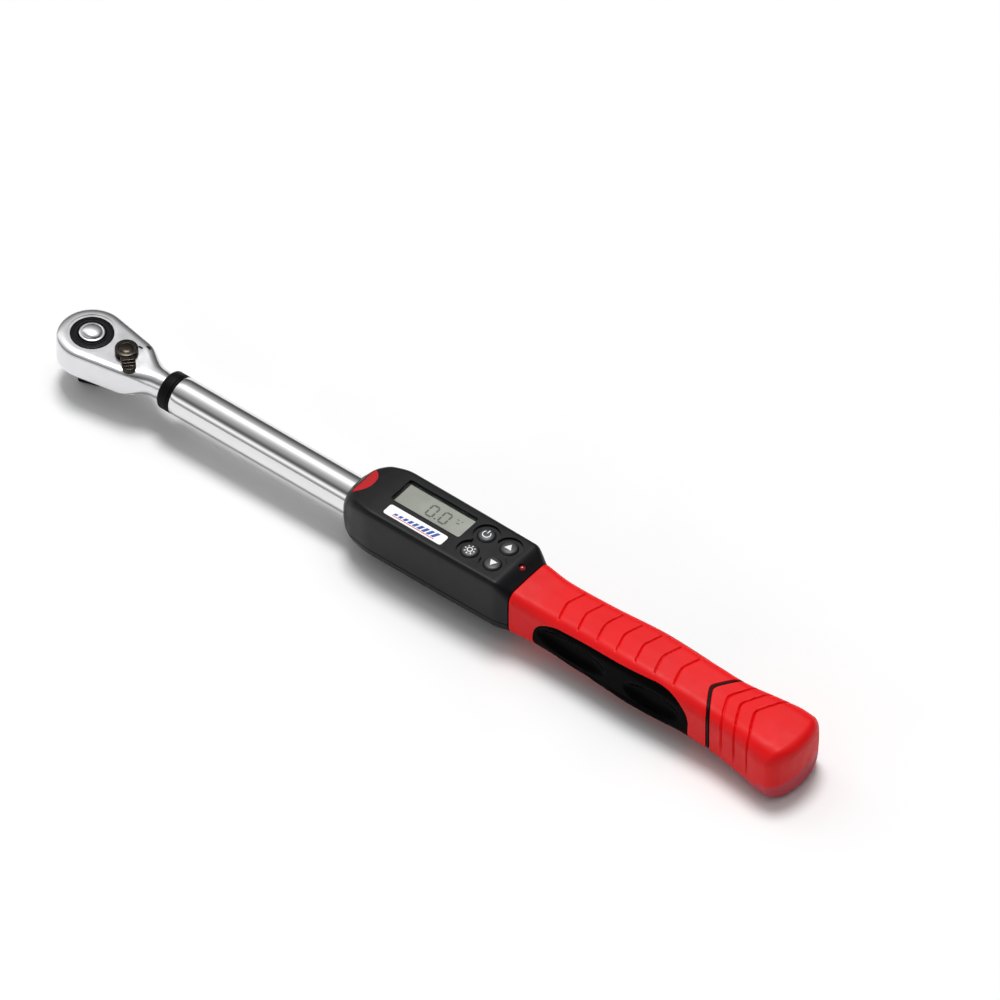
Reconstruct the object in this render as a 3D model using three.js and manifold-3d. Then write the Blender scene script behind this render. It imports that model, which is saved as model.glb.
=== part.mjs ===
// A digital torque wrench with a 1/2 inch reversible ratchet head, built from its separate pieces.
// Units are millimetres. The origin is the centre of the drive square's end face, +Z points up along
// the drive axis to the display side, and +X runs along the tube to the handle.
import * as THREE from "three";
import { mergeVertices } from "three/addons/utils/BufferGeometryUtils.js";
import Module from "manifold-3d";

const wasm = await Module();
wasm.setup();

// ---- driving dimensions. Every height below is measured from the tube's own axis. ----
const AXIS_HEIGHT = 24.5; // tube axis above the drive square's end face
const GAP = 0.3; // clearance between neighbouring pieces
const BEYOND = 60; // a cutter's reach past the piece it cuts

const DRIVE_SQUARE = 12.7;
const DRIVE_TURN = THREE.MathUtils.degToRad(20);

const HEAD_R = 19;
const HEAD_HALF = 9;
const HEAD_EDGE = 1.6;
const SHOULDER = { x: 28, y: 14.2 };
const NECK_R = 7.6;
const NECK_X = 48;

const GEAR_R = 12;
const GEAR_TEETH = 24;
const GEAR_TOP = 4.6;
const GEAR_BOTTOM = -6.4;
const JOURNAL_R = 11.6;
const JOURNAL_TOP = 9.3;
const LOWER_JOURNAL_R = 9.6;
const BUTTON_WELL_R = 7.3;
const BUTTON_WELL_FLOOR = 3.2;
const PIN_BORE_R = 1.9;

const LEVER_X = 23.4;
const LEVER_R = 6.3;
const LEVER_SHAFT_R = 3;
const LEVER_REACH = 16.2;
const PAWL_X = 15.9;
const PLATE_T = 2;

const COLLAR = { x0: 51.5, x1: 59.8 };
const TUBE_R = 11;
const TUBE_BORE = 9.2;
const TUBE = { x0: 60.1, x1: 415 };
const SHANK_R = 8.8;
const SHANK_END = 84;

const BEAM = { x0: 72.5, x1: 200, halfZ: 6, halfY: 5.5, thinY: 3.2 };
const FORK_PIN_X = 78;
const TUBE_PIN_X = 190;
const PIN_R = 2;

const COVER_SCREWS = [
  [14.9 * Math.cos(2.2), 14.9 * Math.sin(2.2)],
  [14.9 * Math.cos(2.2), -14.9 * Math.sin(2.2)],
  [32.6, 0],
];
const BALL = { r: 2, height: -17, x: 5.1 };
const CABLE_HOLE_X = 211;

const MODULE = { x0: 180, x1: 294 };
const MODULE_SEAM = -8;
const DECK = 19.2;
const WALL = 2;
const CEILING = DECK - WALL;
const PCB = { x0: 200, x1: 289.5, halfY: 11.3, z0: 12.4, z1: 13.2 };
const DISPLAY = { x0: 204.7, x1: 250.7, y0: -3.8, y1: 13.6 };
const LABEL = { x: 227.2, y: -10.5, length: 39, width: 7.7 };
const BUTTON_R = 4.9;
const BUTTON_XS = [260.9, 276.1];
const BUTTON_Y = 7.1;
const KEYPAD_FLOOR = DECK - 1;
const KEYPAD_ROUND = 7.5;
const LED = { x: 289.3, y: 1.4, r: 1.75 };
const SCREW_XS = [198, 286];
const SCREW_Y = 14.3;

const HANDLE = { x0: 294.4, x1: 479.5 };
const SLEEVE_BORE = TUBE_R + GAP;
const CHEVRON_X = 417;
const CHEVRON_SEAL = 2;
const GROOVES = { first: 321.2, pitch: 12.8, count: 7, width: 1.2, depth: 0.8, sweep: 3 };
const BATTERY = { r: 7.1, length: 49, nubR: 2.75, nub: 1.2, x: [303.3, 353.8] };
const INSERT_DEPTH = 12.8;
// Two thumb hollows in each side panel: centre x, height, and half-length.
const HOLLOWS = [
  { x: 336.5, z: -1.5, long: 23.5, tall: 7.5, deep: 3 },
  { x: 391, z: -2.5, long: 19, tall: 7.2, deep: 3 },
];
const SPIGOT = { outer: 8.9, inner: 7.6, x0: 403, web: 412 };

// Stations along the case and the handle: half-width, height over and depth under the tube axis,
// and the corner radii of the top and bottom edges.
const CASE_STATIONS = [
  { x: 180, w: 12.4, top: 12.6, bottom: 12.4, rt: 9, rb: 9 },
  { x: 184, w: 15.8, top: 16, bottom: 14.2, rt: 7, rb: 8 },
  { x: 191, w: 18.3, top: 18.3, bottom: 15.4, rt: 4.5, rb: 7 },
  { x: 203, w: 19.8, top: 19.2, bottom: 16, rt: 2.8, rb: 7 },
  { x: 285, w: 19.3, top: 19.2, bottom: 16.2, rt: 2.8, rb: 7 },
  { x: 294, w: 17, top: 13.8, bottom: 16.4, rt: 6, rb: 7 },
];
const HANDLE_STATIONS = [
  { x: 294, w: 17, top: 13.8, bottom: 16.4, rt: 6, rb: 7 },
  { x: 313, w: 16, top: 12, bottom: 16.5, rt: 6.5, rb: 8 },
  { x: 340, w: 16.3, top: 12.7, bottom: 17, rt: 7, rb: 8 },
  { x: 375, w: 17.5, top: 13.8, bottom: 18.5, rt: 7, rb: 8 },
  { x: 410, w: 17, top: 12.5, bottom: 18.2, rt: 7, rb: 8 },
  { x: 427, w: 17.2, top: 11.5, bottom: 19, rt: 7, rb: 8 },
  { x: 454, w: 20, top: 12.5, bottom: 22.8, rt: 8, rb: 9 },
  { x: 464, w: 21.6, top: 12.3, bottom: 24.5, rt: 9, rb: 10 },
  { x: 473, w: 22, top: 11.4, bottom: 24.5, rt: 9, rb: 10 },
  { x: 477.5, w: 20.4, top: 9.6, bottom: 22.8, rt: 8.4, rb: 9.4 },
  { x: 479.5, w: 16.6, top: 6, bottom: 19, rt: 6, rb: 8 },
];

// ---- geometry helpers ----
// A geometry as a manifold-3d solid, for cutting and joining.
function solid(geometry) {
  const bare = geometry.clone();
  bare.deleteAttribute("normal");
  bare.deleteAttribute("uv");
  const merged = mergeVertices(bare, 1e-4);
  return new wasm.Manifold(
    new wasm.Mesh({
      numProp: 3,
      vertProperties: new Float32Array(merged.attributes.position.array),
      triVerts: new Uint32Array(merged.index.array),
    }),
  );
}

// A solid back as a three.js geometry with flat-shaded normals.
function geometryOf(body) {
  const mesh = body.getMesh();
  const geometry = new THREE.BufferGeometry();
  geometry.setAttribute("position", new THREE.BufferAttribute(new Float32Array(mesh.vertProperties), 3));
  geometry.setIndex(new THREE.BufferAttribute(new Uint32Array(mesh.triVerts), 1));
  const flat = geometry.toNonIndexed();
  flat.computeVertexNormals();
  return flat;
}

function block(x0, x1, y0, y1, z0, z1) {
  const box = new THREE.BoxGeometry(x1 - x0, y1 - y0, z1 - z0);
  return solid(box.translate((x0 + x1) / 2, (y0 + y1) / 2, (z0 + z1) / 2));
}

// A cylinder along Z.
function post(x, y, r, z0, z1, sides = 14) {
  const cylinder = new THREE.CylinderGeometry(r, r, z1 - z0, sides);
  return solid(cylinder.rotateX(Math.PI / 2).translate(x, y, (z0 + z1) / 2));
}

// A cylinder along X, centred on the tube axis.
function rod(x0, x1, r, sides = 20) {
  const cylinder = new THREE.CylinderGeometry(r, r, x1 - x0, sides);
  return solid(cylinder.rotateZ(Math.PI / 2).translate((x0 + x1) / 2, 0, 0));
}

// A solid of revolution about X from [x, radius] pairs that start and end on the axis.
function turnedX(profile, sides = 20) {
  const points = profile.map(([x, r]) => new THREE.Vector2(r, x));
  return outward(solid(new THREE.LatheGeometry(points, sides).rotateZ(-Math.PI / 2)));
}

// A solid of revolution about Z from [z, radius] pairs that start and end on the axis.
function turnedZ(profile, sides = 16) {
  const points = profile.map(([z, r]) => new THREE.Vector2(r, z));
  return outward(solid(new THREE.LatheGeometry(points, sides).rotateX(Math.PI / 2)));
}

// The same solid with its faces pointing out, whichever way its profile ran.
function outward(body) {
  if (body.volume() >= 0) return body;
  const mesh = body.getMesh();
  const reversed = new Uint32Array(mesh.triVerts);
  for (let i = 0; i < reversed.length; i += 3) {
    [reversed[i + 1], reversed[i + 2]] = [reversed[i + 2], reversed[i + 1]];
  }
  return new wasm.Manifold(
    new wasm.Mesh({ numProp: 3, vertProperties: mesh.vertProperties, triVerts: reversed }),
  );
}

// A plan outline extruded upwards.
function prism(shape, z0, z1, curveSegments = 8) {
  const geometry = new THREE.ExtrudeGeometry(shape, { depth: z1 - z0, bevelEnabled: false, curveSegments });
  return solid(geometry.translate(0, 0, z0));
}

// A side outline, drawn in X and Z, extruded across Y.
function sidePrism(shape, y0, y1, curveSegments = 6) {
  const geometry = new THREE.ExtrudeGeometry(shape, { depth: y1 - y0, bevelEnabled: false, curveSegments });
  return solid(geometry.rotateX(Math.PI / 2).translate(0, y1, 0));
}

function roundedRect(x0, x1, y0, y1, r) {
  const shape = new THREE.Shape();
  shape.absarc(x1 - r, y0 + r, r, -Math.PI / 2, 0, false);
  shape.absarc(x1 - r, y1 - r, r, 0, Math.PI / 2, false);
  shape.absarc(x0 + r, y1 - r, r, Math.PI / 2, Math.PI, false);
  shape.absarc(x0 + r, y0 + r, r, Math.PI, 1.5 * Math.PI, false);
  return shape;
}

// The section at x, eased between the two stations on either side of it.
function sectionAt(stations, x) {
  const after = stations.findIndex((station) => station.x >= x);
  if (after <= 0) return { ...stations[0], x };
  const a = stations[after - 1];
  const b = stations[after];
  const t = (x - a.x) / (b.x - a.x);
  const mixed = { x };
  for (const key of ["w", "top", "bottom", "rt", "rb"]) mixed[key] = a[key] + (b[key] - a[key]) * t;
  return mixed;
}

// One ring of a rounded section, drawn in at every side by inset.
function ring(section, inset, cornerSteps) {
  const w = section.w - inset;
  const corners = [
    { y: 1, z: 1, r: section.rt, edge: section.top - inset },
    { y: -1, z: 1, r: section.rt, edge: section.top - inset },
    { y: -1, z: -1, r: section.rb, edge: section.bottom - inset },
    { y: 1, z: -1, r: section.rb, edge: section.bottom - inset },
  ];
  const points = [];
  corners.forEach((corner, quarter) => {
    const r = Math.max(0.5, corner.r - inset);
    for (let step = 0; step <= cornerSteps; step += 1) {
      const angle = (quarter + step / cornerSteps) * (Math.PI / 2);
      const y = corner.y * (w - r) + r * Math.cos(angle);
      const z = corner.z * (corner.edge - r) + r * Math.sin(angle);
      points.push([section.x, y, z]);
    }
  });
  return points;
}

// A closed skin over rounded sections, from x0 to x1.
function loft(stations, x0, x1, inset = 0, cornerSteps = 4) {
  const inner = stations.filter((station) => station.x > x0 && station.x < x1);
  const sections = [sectionAt(stations, x0), ...inner, sectionAt(stations, x1)];
  const rings = sections.map((section) => ring(section, inset, cornerSteps));
  const count = rings[0].length;
  const positions = rings.flat(2);
  const index = [];
  for (let i = 0; i + 1 < rings.length; i += 1) {
    for (let j = 0; j < count; j += 1) {
      const a = i * count + j;
      const b = i * count + ((j + 1) % count);
      index.push(a, b, a + count, b, b + count, a + count);
    }
  }
  const last = (rings.length - 1) * count;
  for (let j = 1; j + 1 < count; j += 1) {
    index.push(0, j + 1, j);
    index.push(last, last + j, last + j + 1);
  }
  const geometry = new THREE.BufferGeometry();
  geometry.setAttribute("position", new THREE.BufferAttribute(new Float32Array(positions), 3));
  geometry.setIndex(index);
  return outward(solid(geometry));
}

class Helix extends THREE.Curve {
  constructor(radius, length, turns, topRadius = radius) {
    super();
    Object.assign(this, { radius, length, turns, topRadius });
  }

  getPoint(t) {
    const angle = t * this.turns * 2 * Math.PI;
    const radius = this.radius + t * (this.topRadius - this.radius);
    return new THREE.Vector3(radius * Math.cos(angle), radius * Math.sin(angle), t * this.length);
  }
}

// A round wire along a curve.
function wire(curve, r, steps, sides = 4) {
  const section = new THREE.Shape();
  for (let i = 0; i < sides; i += 1) {
    const angle = (i / sides) * 2 * Math.PI;
    if (i === 0) section.moveTo(r, 0);
    else section.lineTo(r * Math.cos(angle), r * Math.sin(angle));
  }
  const options = { steps, extrudePath: curve, bevelEnabled: false };
  return outward(solid(new THREE.ExtrudeGeometry(section, options)));
}

// A coil spring that stands on z = 0, inside its own height. A narrower top makes it conical.
function spring(coilR, wireR, height, turns, topR = coilR) {
  const coil = wire(new Helix(coilR, height - 2 * wireR, turns, topR), wireR, turns * 8);
  return coil.translate([0, 0, wireR]);
}

// ---- materials ----
function finish(color, roughness, metalness) {
  return () => new THREE.MeshStandardMaterial({ color, roughness, metalness });
}
const satinChrome = finish(0xc6c7c9, 0.28, 1);
const polishedChrome = finish(0xd8d9db, 0.12, 1);
const blackSteel = finish(0x1c1c1e, 0.45, 0.8);
const gunmetal = finish(0x4d4944, 0.4, 0.9);
const plainSteel = finish(0x9a9b9d, 0.4, 1);
const springSteel = finish(0x86878a, 0.35, 1);
const blackPlastic = finish(0x202124, 0.6, 0);
const darkRubber = finish(0x17181a, 0.75, 0);
const gripRed = finish(0xd2202a, 0.5, 0);
const insertBlack = finish(0x0c0c0d, 0.3, 0);
const buttonGrey = finish(0x2c2d30, 0.55, 0);
const whiteLabel = finish(0xf2f2f0, 0.4, 0);
const lcdGrey = finish(0xb4b4ac, 0.35, 0);
const clearWindow = finish(0xdfe4e6, 0.05, 0);
const redLens = finish(0xc01218, 0.15, 0);
const boardGreen = finish(0x1f5b36, 0.5, 0);
const chipBlack = finish(0x101012, 0.5, 0);
const brassGold = finish(0xb9975b, 0.35, 1);
const batteryJacket = finish(0x2f3a46, 0.4, 0.3);
const gaugeFoil = finish(0xb07a35, 0.4, 0.2);
const cableGrey = finish(0x3a3b3d, 0.6, 0);

// ---- the head ----
function headOutline() {
  const corner = Math.atan2(SHOULDER.y, SHOULDER.x);
  const tangent = corner + Math.acos(HEAD_R / Math.hypot(SHOULDER.x, SHOULDER.y));
  const shape = new THREE.Shape();
  shape.absarc(0, 0, HEAD_R, tangent, 2 * Math.PI - tangent, false);
  shape.lineTo(SHOULDER.x, -SHOULDER.y);
  shape.bezierCurveTo(34, -12.6, 38.5, -8.2, NECK_X, -8);
  shape.lineTo(SHANK_END, -SHANK_R - 1);
  shape.lineTo(SHANK_END, SHANK_R + 1);
  shape.lineTo(NECK_X, 8);
  shape.bezierCurveTo(38.5, 8.2, 34, 12.6, SHOULDER.x, SHOULDER.y);
  return shape;
}

// The room for the gear, the pawl and the lever's shaft, seen from above.
function mechanismPocket(z0, z1) {
  const gearRoom = post(0, 0, GEAR_R + 0.6, z0, z1, 24);
  const pawlRoom = prism(roundedRect(8, 21.5, -10.4, 10.4, 2), z0, z1, 4);
  const leverRoom = post(LEVER_X, 0, 6, z0, z1);
  return gearRoom.add(pawlRoom).add(leverRoom);
}

function coverOutline(grow) {
  const round = post(0, 0, 16.9 + grow, -HEAD_HALF - 1, -HEAD_HALF + PLATE_T, 24);
  const tongueOutline = roundedRect(0, 36 + grow, -9.6 - grow, 9.6 + grow, 4);
  const tongue = prism(tongueOutline, -HEAD_HALF - 1, -HEAD_HALF + PLATE_T, 4);
  return round.add(tongue);
}

function ratchetHead() {
  const edge = HEAD_EDGE;
  const bevel = { bevelThickness: edge, bevelSize: edge, bevelOffset: -edge, bevelSegments: 2 };
  const depth = 2 * (HEAD_HALF - HEAD_EDGE);
  const slab = new THREE.ExtrudeGeometry(headOutline(), { depth, curveSegments: 7, ...bevel });
  const envelope = turnedX([
    [-30, 0],
    [-30, 30],
    [30, 30],
    [35.5, 14.6],
    [38.5, 11],
    [42, 8.8],
    [NECK_X, NECK_R],
    [60.4, NECK_R],
    [61.6, SHANK_R],
    [SHANK_END, SHANK_R],
    [SHANK_END, 0],
  ], 24);
  const fork = block(72, SHANK_END + 1, -BEAM.thinY, BEAM.thinY, -BEYOND, BEYOND);
  const forkPinHole = post(FORK_PIN_X, 0, PIN_R + GAP, -BEYOND, BEYOND, 16).rotate([90, 0, 0]);
  const leverHole = post(LEVER_X, 0, LEVER_SHAFT_R + GAP, 0, BEYOND);
  const detentHole = post(LEVER_X + 4.4, 0, 1.3, 5, BEYOND, 12);
  let head = solid(slab.translate(0, 0, HEAD_EDGE - HEAD_HALF)).intersect(envelope);
  head = head.subtract(mechanismPocket(-HEAD_HALF, GEAR_TOP + GAP));
  head = head.subtract(coverOutline(GAP));
  head = head.subtract(post(0, 0, JOURNAL_R + GAP, 0, BEYOND, 24));
  head = head.subtract(leverHole).subtract(detentHole);
  head = head.subtract(post(PAWL_X, 0, 1.4, 0, GEAR_TOP + 2, 16));
  head = head.subtract(fork).subtract(forkPinHole);
  for (const [x, y] of COVER_SCREWS) head = head.subtract(post(x, y, 1.1, -HEAD_HALF, -2.6, 12));
  return head;
}

function coverPlate() {
  let plate = coverOutline(0).subtract(block(-BEYOND, BEYOND, -BEYOND, BEYOND, -BEYOND, -HEAD_HALF));
  plate = plate.subtract(block(-BEYOND, BEYOND, -BEYOND, BEYOND, -HEAD_HALF + PLATE_T - GAP, BEYOND));
  plate = plate.subtract(post(0, 0, LOWER_JOURNAL_R + GAP, -BEYOND, BEYOND, 20));
  for (const [x, y] of COVER_SCREWS) {
    plate = plate.subtract(post(x, y, 1.2, -BEYOND, BEYOND, 12));
    plate = plate.subtract(post(x, y, 1.9, -BEYOND, -HEAD_HALF + 0.9, 16));
  }
  return plate;
}

// A small countersunk-style screw whose head faces down at z = 0.
function screw(headR, headT, shankR, length) {
  const recess = block(-headR * 0.6, headR * 0.6, -headR * 0.14, headR * 0.14, -1, headT * 0.5);
  const profile = [[0, 0], [0, headR], [headT, headR], [headT, shankR], [length, shankR], [length, 0]];
  const body = turnedZ(profile, 10);
  return body.subtract(recess);
}

function gearOutline() {
  const shape = new THREE.Shape();
  for (let i = 0; i < GEAR_TEETH; i += 1) {
    const tip = (i / GEAR_TEETH) * 2 * Math.PI;
    const root = ((i + 0.5) / GEAR_TEETH) * 2 * Math.PI;
    const rootR = GEAR_R - 1.2;
    if (i === 0) shape.moveTo(GEAR_R * Math.cos(tip), GEAR_R * Math.sin(tip));
    else shape.lineTo(GEAR_R * Math.cos(tip), GEAR_R * Math.sin(tip));
    shape.lineTo(rootR * Math.cos(root), rootR * Math.sin(root));
  }
  return shape;
}

// The gear, its two journals and the drive square, in one forging.
function driveGear() {
  const half = DRIVE_SQUARE / 2;
  const flats = block(-half, half, -half, half, -AXIS_HEIGHT, 0);
  const end = -AXIS_HEIGHT;
  const corners = turnedZ([[end, 0], [end, 7.2], [end + 1.1, 8.3], [1, 8.3], [1, 0]], 20);
  const square = flats.intersect(corners);
  let gear = prism(gearOutline(), GEAR_BOTTOM, GEAR_TOP);
  gear = gear.add(post(0, 0, JOURNAL_R, 0, JOURNAL_TOP, 24));
  gear = gear.add(post(0, 0, LOWER_JOURNAL_R, -HEAD_HALF, 0, 20));
  gear = gear.add(square);
  gear = gear.subtract(post(0, 0, BUTTON_WELL_R, BUTTON_WELL_FLOOR, BEYOND, 20));
  gear = gear.subtract(post(0, 0, PIN_BORE_R, BALL.height - 2.6, BEYOND, 16));
  return gear.subtract(rod(0, BEYOND, BALL.r + GAP, 16).translate([0, 0, BALL.height]));
}

function releaseButton() {
  const arc = [0.2, 0.45, 0.7, 0.95].map((t) => {
    const angle = t * (Math.PI / 2);
    return [9.4 + 2.6 * Math.cos(angle), 7 * Math.sin(angle)];
  });
  const body = turnedZ([[12, 0], ...arc, [9.2, 7], [6.4, 7], [6.4, 0]], 20);
  return body.subtract(post(0, 0, 1.6, 0, 8.6, 16));
}

function reversingLever() {
  const hub = turnedZ([[9.3, 0], [9.3, LEVER_R], [12.2, LEVER_R], [12.9, LEVER_R - 0.9], [12.9, 0]], 20);
  const tabShape = roundedRect(0, LEVER_REACH, -3.8, 3.8, 1.6);
  let lever = hub.add(prism(tabShape, 9.6, 12.4, 4));
  for (const x of [9.2, 11.2, 13.2]) lever = lever.add(block(x, x + 1, -3.2, 3.2, 12, 13.1));
  lever = lever.add(post(0, 0, LEVER_SHAFT_R, GEAR_BOTTOM + 0.6, 10));
  return lever.subtract(rod(-BEYOND, -0.6, 1.3, 12));
}

function pawl() {
  const arm = THREE.MathUtils.degToRad(33);
  const shape = new THREE.Shape();
  shape.absarc(0, 0, 17.5, -arm, arm, false);
  shape.absarc(0, 0, 13.6, arm, -arm, true);
  const body = prism(shape, GEAR_BOTTOM + 0.6, GEAR_TOP - 0.4, 10);
  return body.subtract(post(PAWL_X, 0, 1.4, -BEYOND, BEYOND, 16)).translate([-PAWL_X, 0, 0]);
}

// ---- collar, tube and torque sensor ----
function hollowRod(x0, x1, outer, inner, sides = 24) {
  return rod(x0, x1, outer, sides).subtract(rod(x0 - 1, x1 + 1, inner, sides));
}

function neckCollar() {
  const skin = turnedX([
    [COLLAR.x0, 0],
    [COLLAR.x0, TUBE_R - 0.9],
    [COLLAR.x0 + 0.9, TUBE_R],
    [COLLAR.x1, TUBE_R],
    [COLLAR.x1, 0],
  ], 24);
  return skin.subtract(rod(0, 100, NECK_R + GAP, 16));
}

function mainTube() {
  let tube = hollowRod(TUBE.x0, TUBE.x1, TUBE_R, TUBE_BORE, 24);
  tube = tube.subtract(post(TUBE_PIN_X, 0, PIN_R + GAP, -BEYOND, BEYOND, 16));
  return tube.subtract(post(CABLE_HOLE_X, 0, 2.4, 0, BEYOND, 16));
}

function sensorBeam() {
  const tongue = block(BEAM.x0, 88, -2.8, 2.8, -BEAM.halfZ, BEAM.halfZ);
  const bar = block(88, BEAM.x1, -BEAM.halfY, BEAM.halfY, -BEAM.halfZ, BEAM.halfZ);
  let beam = bar.add(tongue);
  beam = beam.subtract(block(110, 150, BEAM.thinY, BEYOND, -BEYOND, BEYOND));
  beam = beam.subtract(block(110, 150, -BEYOND, -BEAM.thinY, -BEYOND, BEYOND));
  beam = beam.subtract(post(FORK_PIN_X, 0, PIN_R + GAP, -BEYOND, BEYOND, 16).rotate([90, 0, 0]));
  return beam.subtract(post(TUBE_PIN_X, 0, PIN_R + GAP, -BEYOND, BEYOND, 16));
}

function sensorCable() {
  const route = [
    [133, -4.9, 0],
    [150, -7.3, 0],
    [201, -7.4, 0],
    [206, -5.4, 2],
    [210.4, -1.6, 6],
    [CABLE_HOLE_X, 0, 12],
  ];
  const curve = new THREE.CatmullRomCurve3(route.map((point) => new THREE.Vector3(...point)));
  return wire(curve, 0.8, 20, 5);
}

// ---- the display case ----
function caseOutside() {
  return loft(CASE_STATIONS, MODULE.x0, MODULE.x1);
}

function caseRoom() {
  return loft(CASE_STATIONS, 193, MODULE.x1 - WALL, WALL, 3);
}

function tubeBore() {
  return rod(0, 300, TUBE_R + GAP, 24);
}

function crescent(grow) {
  const shape = new THREE.Shape();
  const centre = 179.7;
  const front = 183 - grow;
  const r = 11 + grow;
  const tip = Math.acos((front - centre) / r);
  shape.absarc(centre, 0, r, -tip, tip, false);
  return prism(shape, 12.6 - grow, BEYOND, 12);
}

function keypadOutline(grow, z0, z1) {
  const inner = [BUTTON_XS[0] - 3, BUTTON_XS[1] + 3, -BUTTON_Y - 3, BUTTON_Y + 3];
  let pad = block(...inner, z0, z1);
  for (const [x, y] of buttonPlaces()) pad = pad.add(post(x, y, KEYPAD_ROUND + grow, z0, z1, 16));
  return pad;
}

function buttonPlaces() {
  return BUTTON_XS.flatMap((x) => [[x, BUTTON_Y], [x, -BUTTON_Y]]);
}

function screwPlaces() {
  return SCREW_XS.flatMap((x) => [[x, SCREW_Y], [x, -SCREW_Y]]);
}

function upperHousing() {
  const above = block(0, 300, -BEYOND, BEYOND, MODULE_SEAM, BEYOND);
  let shell = caseOutside().subtract(caseRoom());
  for (const [x, y] of screwPlaces()) {
    const boss = post(x, y, 2.8, MODULE_SEAM, CEILING, 16);
    shell = shell.add(boss.intersect(caseOutside()));
  }
  shell = shell.intersect(above).subtract(tubeBore());
  shell = shell.subtract(crescent(GAP));
  shell = shell.subtract(block(DISPLAY.x0, DISPLAY.x1, DISPLAY.y0, DISPLAY.y1, 15, BEYOND));
  shell = shell.subtract(keypadOutline(0, 15, BEYOND));
  shell = shell.subtract(prism(labelShape(0.2), DECK - 0.5, BEYOND, 4));
  shell = shell.subtract(post(LED.x, LED.y, LED.r + GAP, 12, BEYOND, 16));
  for (const [x, y] of screwPlaces()) shell = shell.subtract(post(x, y, 1.1, -BEYOND, 3, 12));
  return shell;
}

function lowerHousing() {
  const below = block(0, 300, -BEYOND, BEYOND, -BEYOND, MODULE_SEAM - GAP);
  let tray = caseOutside().subtract(caseRoom());
  for (const [x, y] of screwPlaces()) {
    const boss = post(x, y, 3.2, -15, MODULE_SEAM, 16);
    tray = tray.add(boss.intersect(caseOutside()));
  }
  tray = tray.intersect(below).subtract(tubeBore());
  for (const [x, y] of screwPlaces()) {
    tray = tray.subtract(post(x, y, 1.3, -BEYOND, BEYOND, 12));
    tray = tray.subtract(post(x, y, 2.5, -BEYOND, -12, 16));
  }
  return tray;
}

function labelShape(grow) {
  const x = LABEL.length / 2 + grow;
  const y = LABEL.width / 2 + grow;
  return roundedRect(LABEL.x - x, LABEL.x + x, LABEL.y - y, LABEL.y + y, 1.6 + grow);
}

function keypadBezel() {
  let bezel = keypadOutline(-GAP, 15.9, KEYPAD_FLOOR);
  bezel = bezel.add(keypadOutline(0.8, 15.9, CEILING - GAP));
  for (const [x, y] of buttonPlaces()) bezel = bezel.subtract(post(x, y, BUTTON_R + 0.4, 0, BEYOND, 16));
  return bezel;
}

// One push button standing on its own foot at z = 0.
function pushButton() {
  const dome = [
    [3.9, BUTTON_R],
    [4.3, BUTTON_R * 0.86],
    [4.6, BUTTON_R * 0.6],
    [4.75, BUTTON_R * 0.3],
  ];
  return turnedZ([[0, 0], [0, 5.8], [0.7, 5.8], [0.7, BUTTON_R], ...dome, [4.8, 0]], 16);
}

function ledLens() {
  const round = [0.3, 0.6, 0.9].map((t) => {
    const angle = t * (Math.PI / 2);
    return [16.4 + LED.r * Math.sin(angle), LED.r * Math.cos(angle)];
  });
  return turnedZ([[PCB.z1 + GAP, 0], [PCB.z1 + GAP, LED.r], [16.4, LED.r], ...round, [16.4 + LED.r, 0]], 16);
}

// ---- the handle ----
function handleOutside() {
  return loft(HANDLE_STATIONS, HANDLE.x0, HANDLE.x1);
}

// Everything in front of the chevron parting line, moved back by offset.
function beforeChevron(offset) {
  const shape = new THREE.Shape();
  shape.moveTo(280, -40);
  shape.lineTo(CHEVRON_X + 10 + offset, -40);
  shape.lineTo(CHEVRON_X + 10 + offset, -17);
  shape.lineTo(CHEVRON_X + 6 + offset, -9.5);
  shape.lineTo(CHEVRON_X + offset, 0);
  shape.lineTo(CHEVRON_X + 6 + offset, 9.5);
  shape.lineTo(CHEVRON_X + 10 + offset, 17);
  shape.lineTo(CHEVRON_X + 10 + offset, 24);
  shape.lineTo(280, 24);
  return prism(shape, -BEYOND, BEYOND);
}

// The side panel's outline, seen from the side, and grown by a margin for its pocket.
function insertOutline(grow) {
  const shape = new THREE.Shape();
  shape.moveTo(310 - grow, -8);
  shape.quadraticCurveTo(310 - grow, 6 + grow, 326, 8.5 + grow);
  shape.quadraticCurveTo(360, 10.6 + grow, 392, 11.6 + grow);
  shape.quadraticCurveTo(414 + grow, 11.4 + grow, 415 + grow, -4);
  shape.lineTo(413 + grow, -BEYOND);
  shape.lineTo(318 - grow, -BEYOND);
  shape.lineTo(318 - grow, -18);
  shape.quadraticCurveTo(310 - grow, -16, 310 - grow, -8);
  return shape;
}

function sideInsert() {
  let panel = handleOutside().intersect(sidePrism(insertOutline(0), -BEYOND, -INSERT_DEPTH));
  for (const hollow of HOLLOWS) {
    const scoop = new THREE.SphereGeometry(1, 14, 8);
    scoop.scale(hollow.long, hollow.deep, hollow.tall);
    const width = sectionAt(HANDLE_STATIONS, hollow.x).w;
    panel = panel.subtract(solid(scoop.translate(hollow.x, -width, hollow.z)));
  }
  return panel;
}

// One shallow V groove across the top of the handle, its point towards the head.
function chevronGroove(x, depth) {
  const { width, sweep } = GROOVES;
  const half = 11;
  const shape = new THREE.Shape();
  shape.moveTo(x, 0);
  shape.lineTo(x + sweep, half);
  shape.lineTo(x + sweep + width, half);
  shape.lineTo(x + width, 0);
  shape.lineTo(x + sweep + width, -half);
  shape.lineTo(x + sweep, -half);
  return prism(shape, sectionAt(HANDLE_STATIONS, x).top - depth, BEYOND);
}

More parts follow.
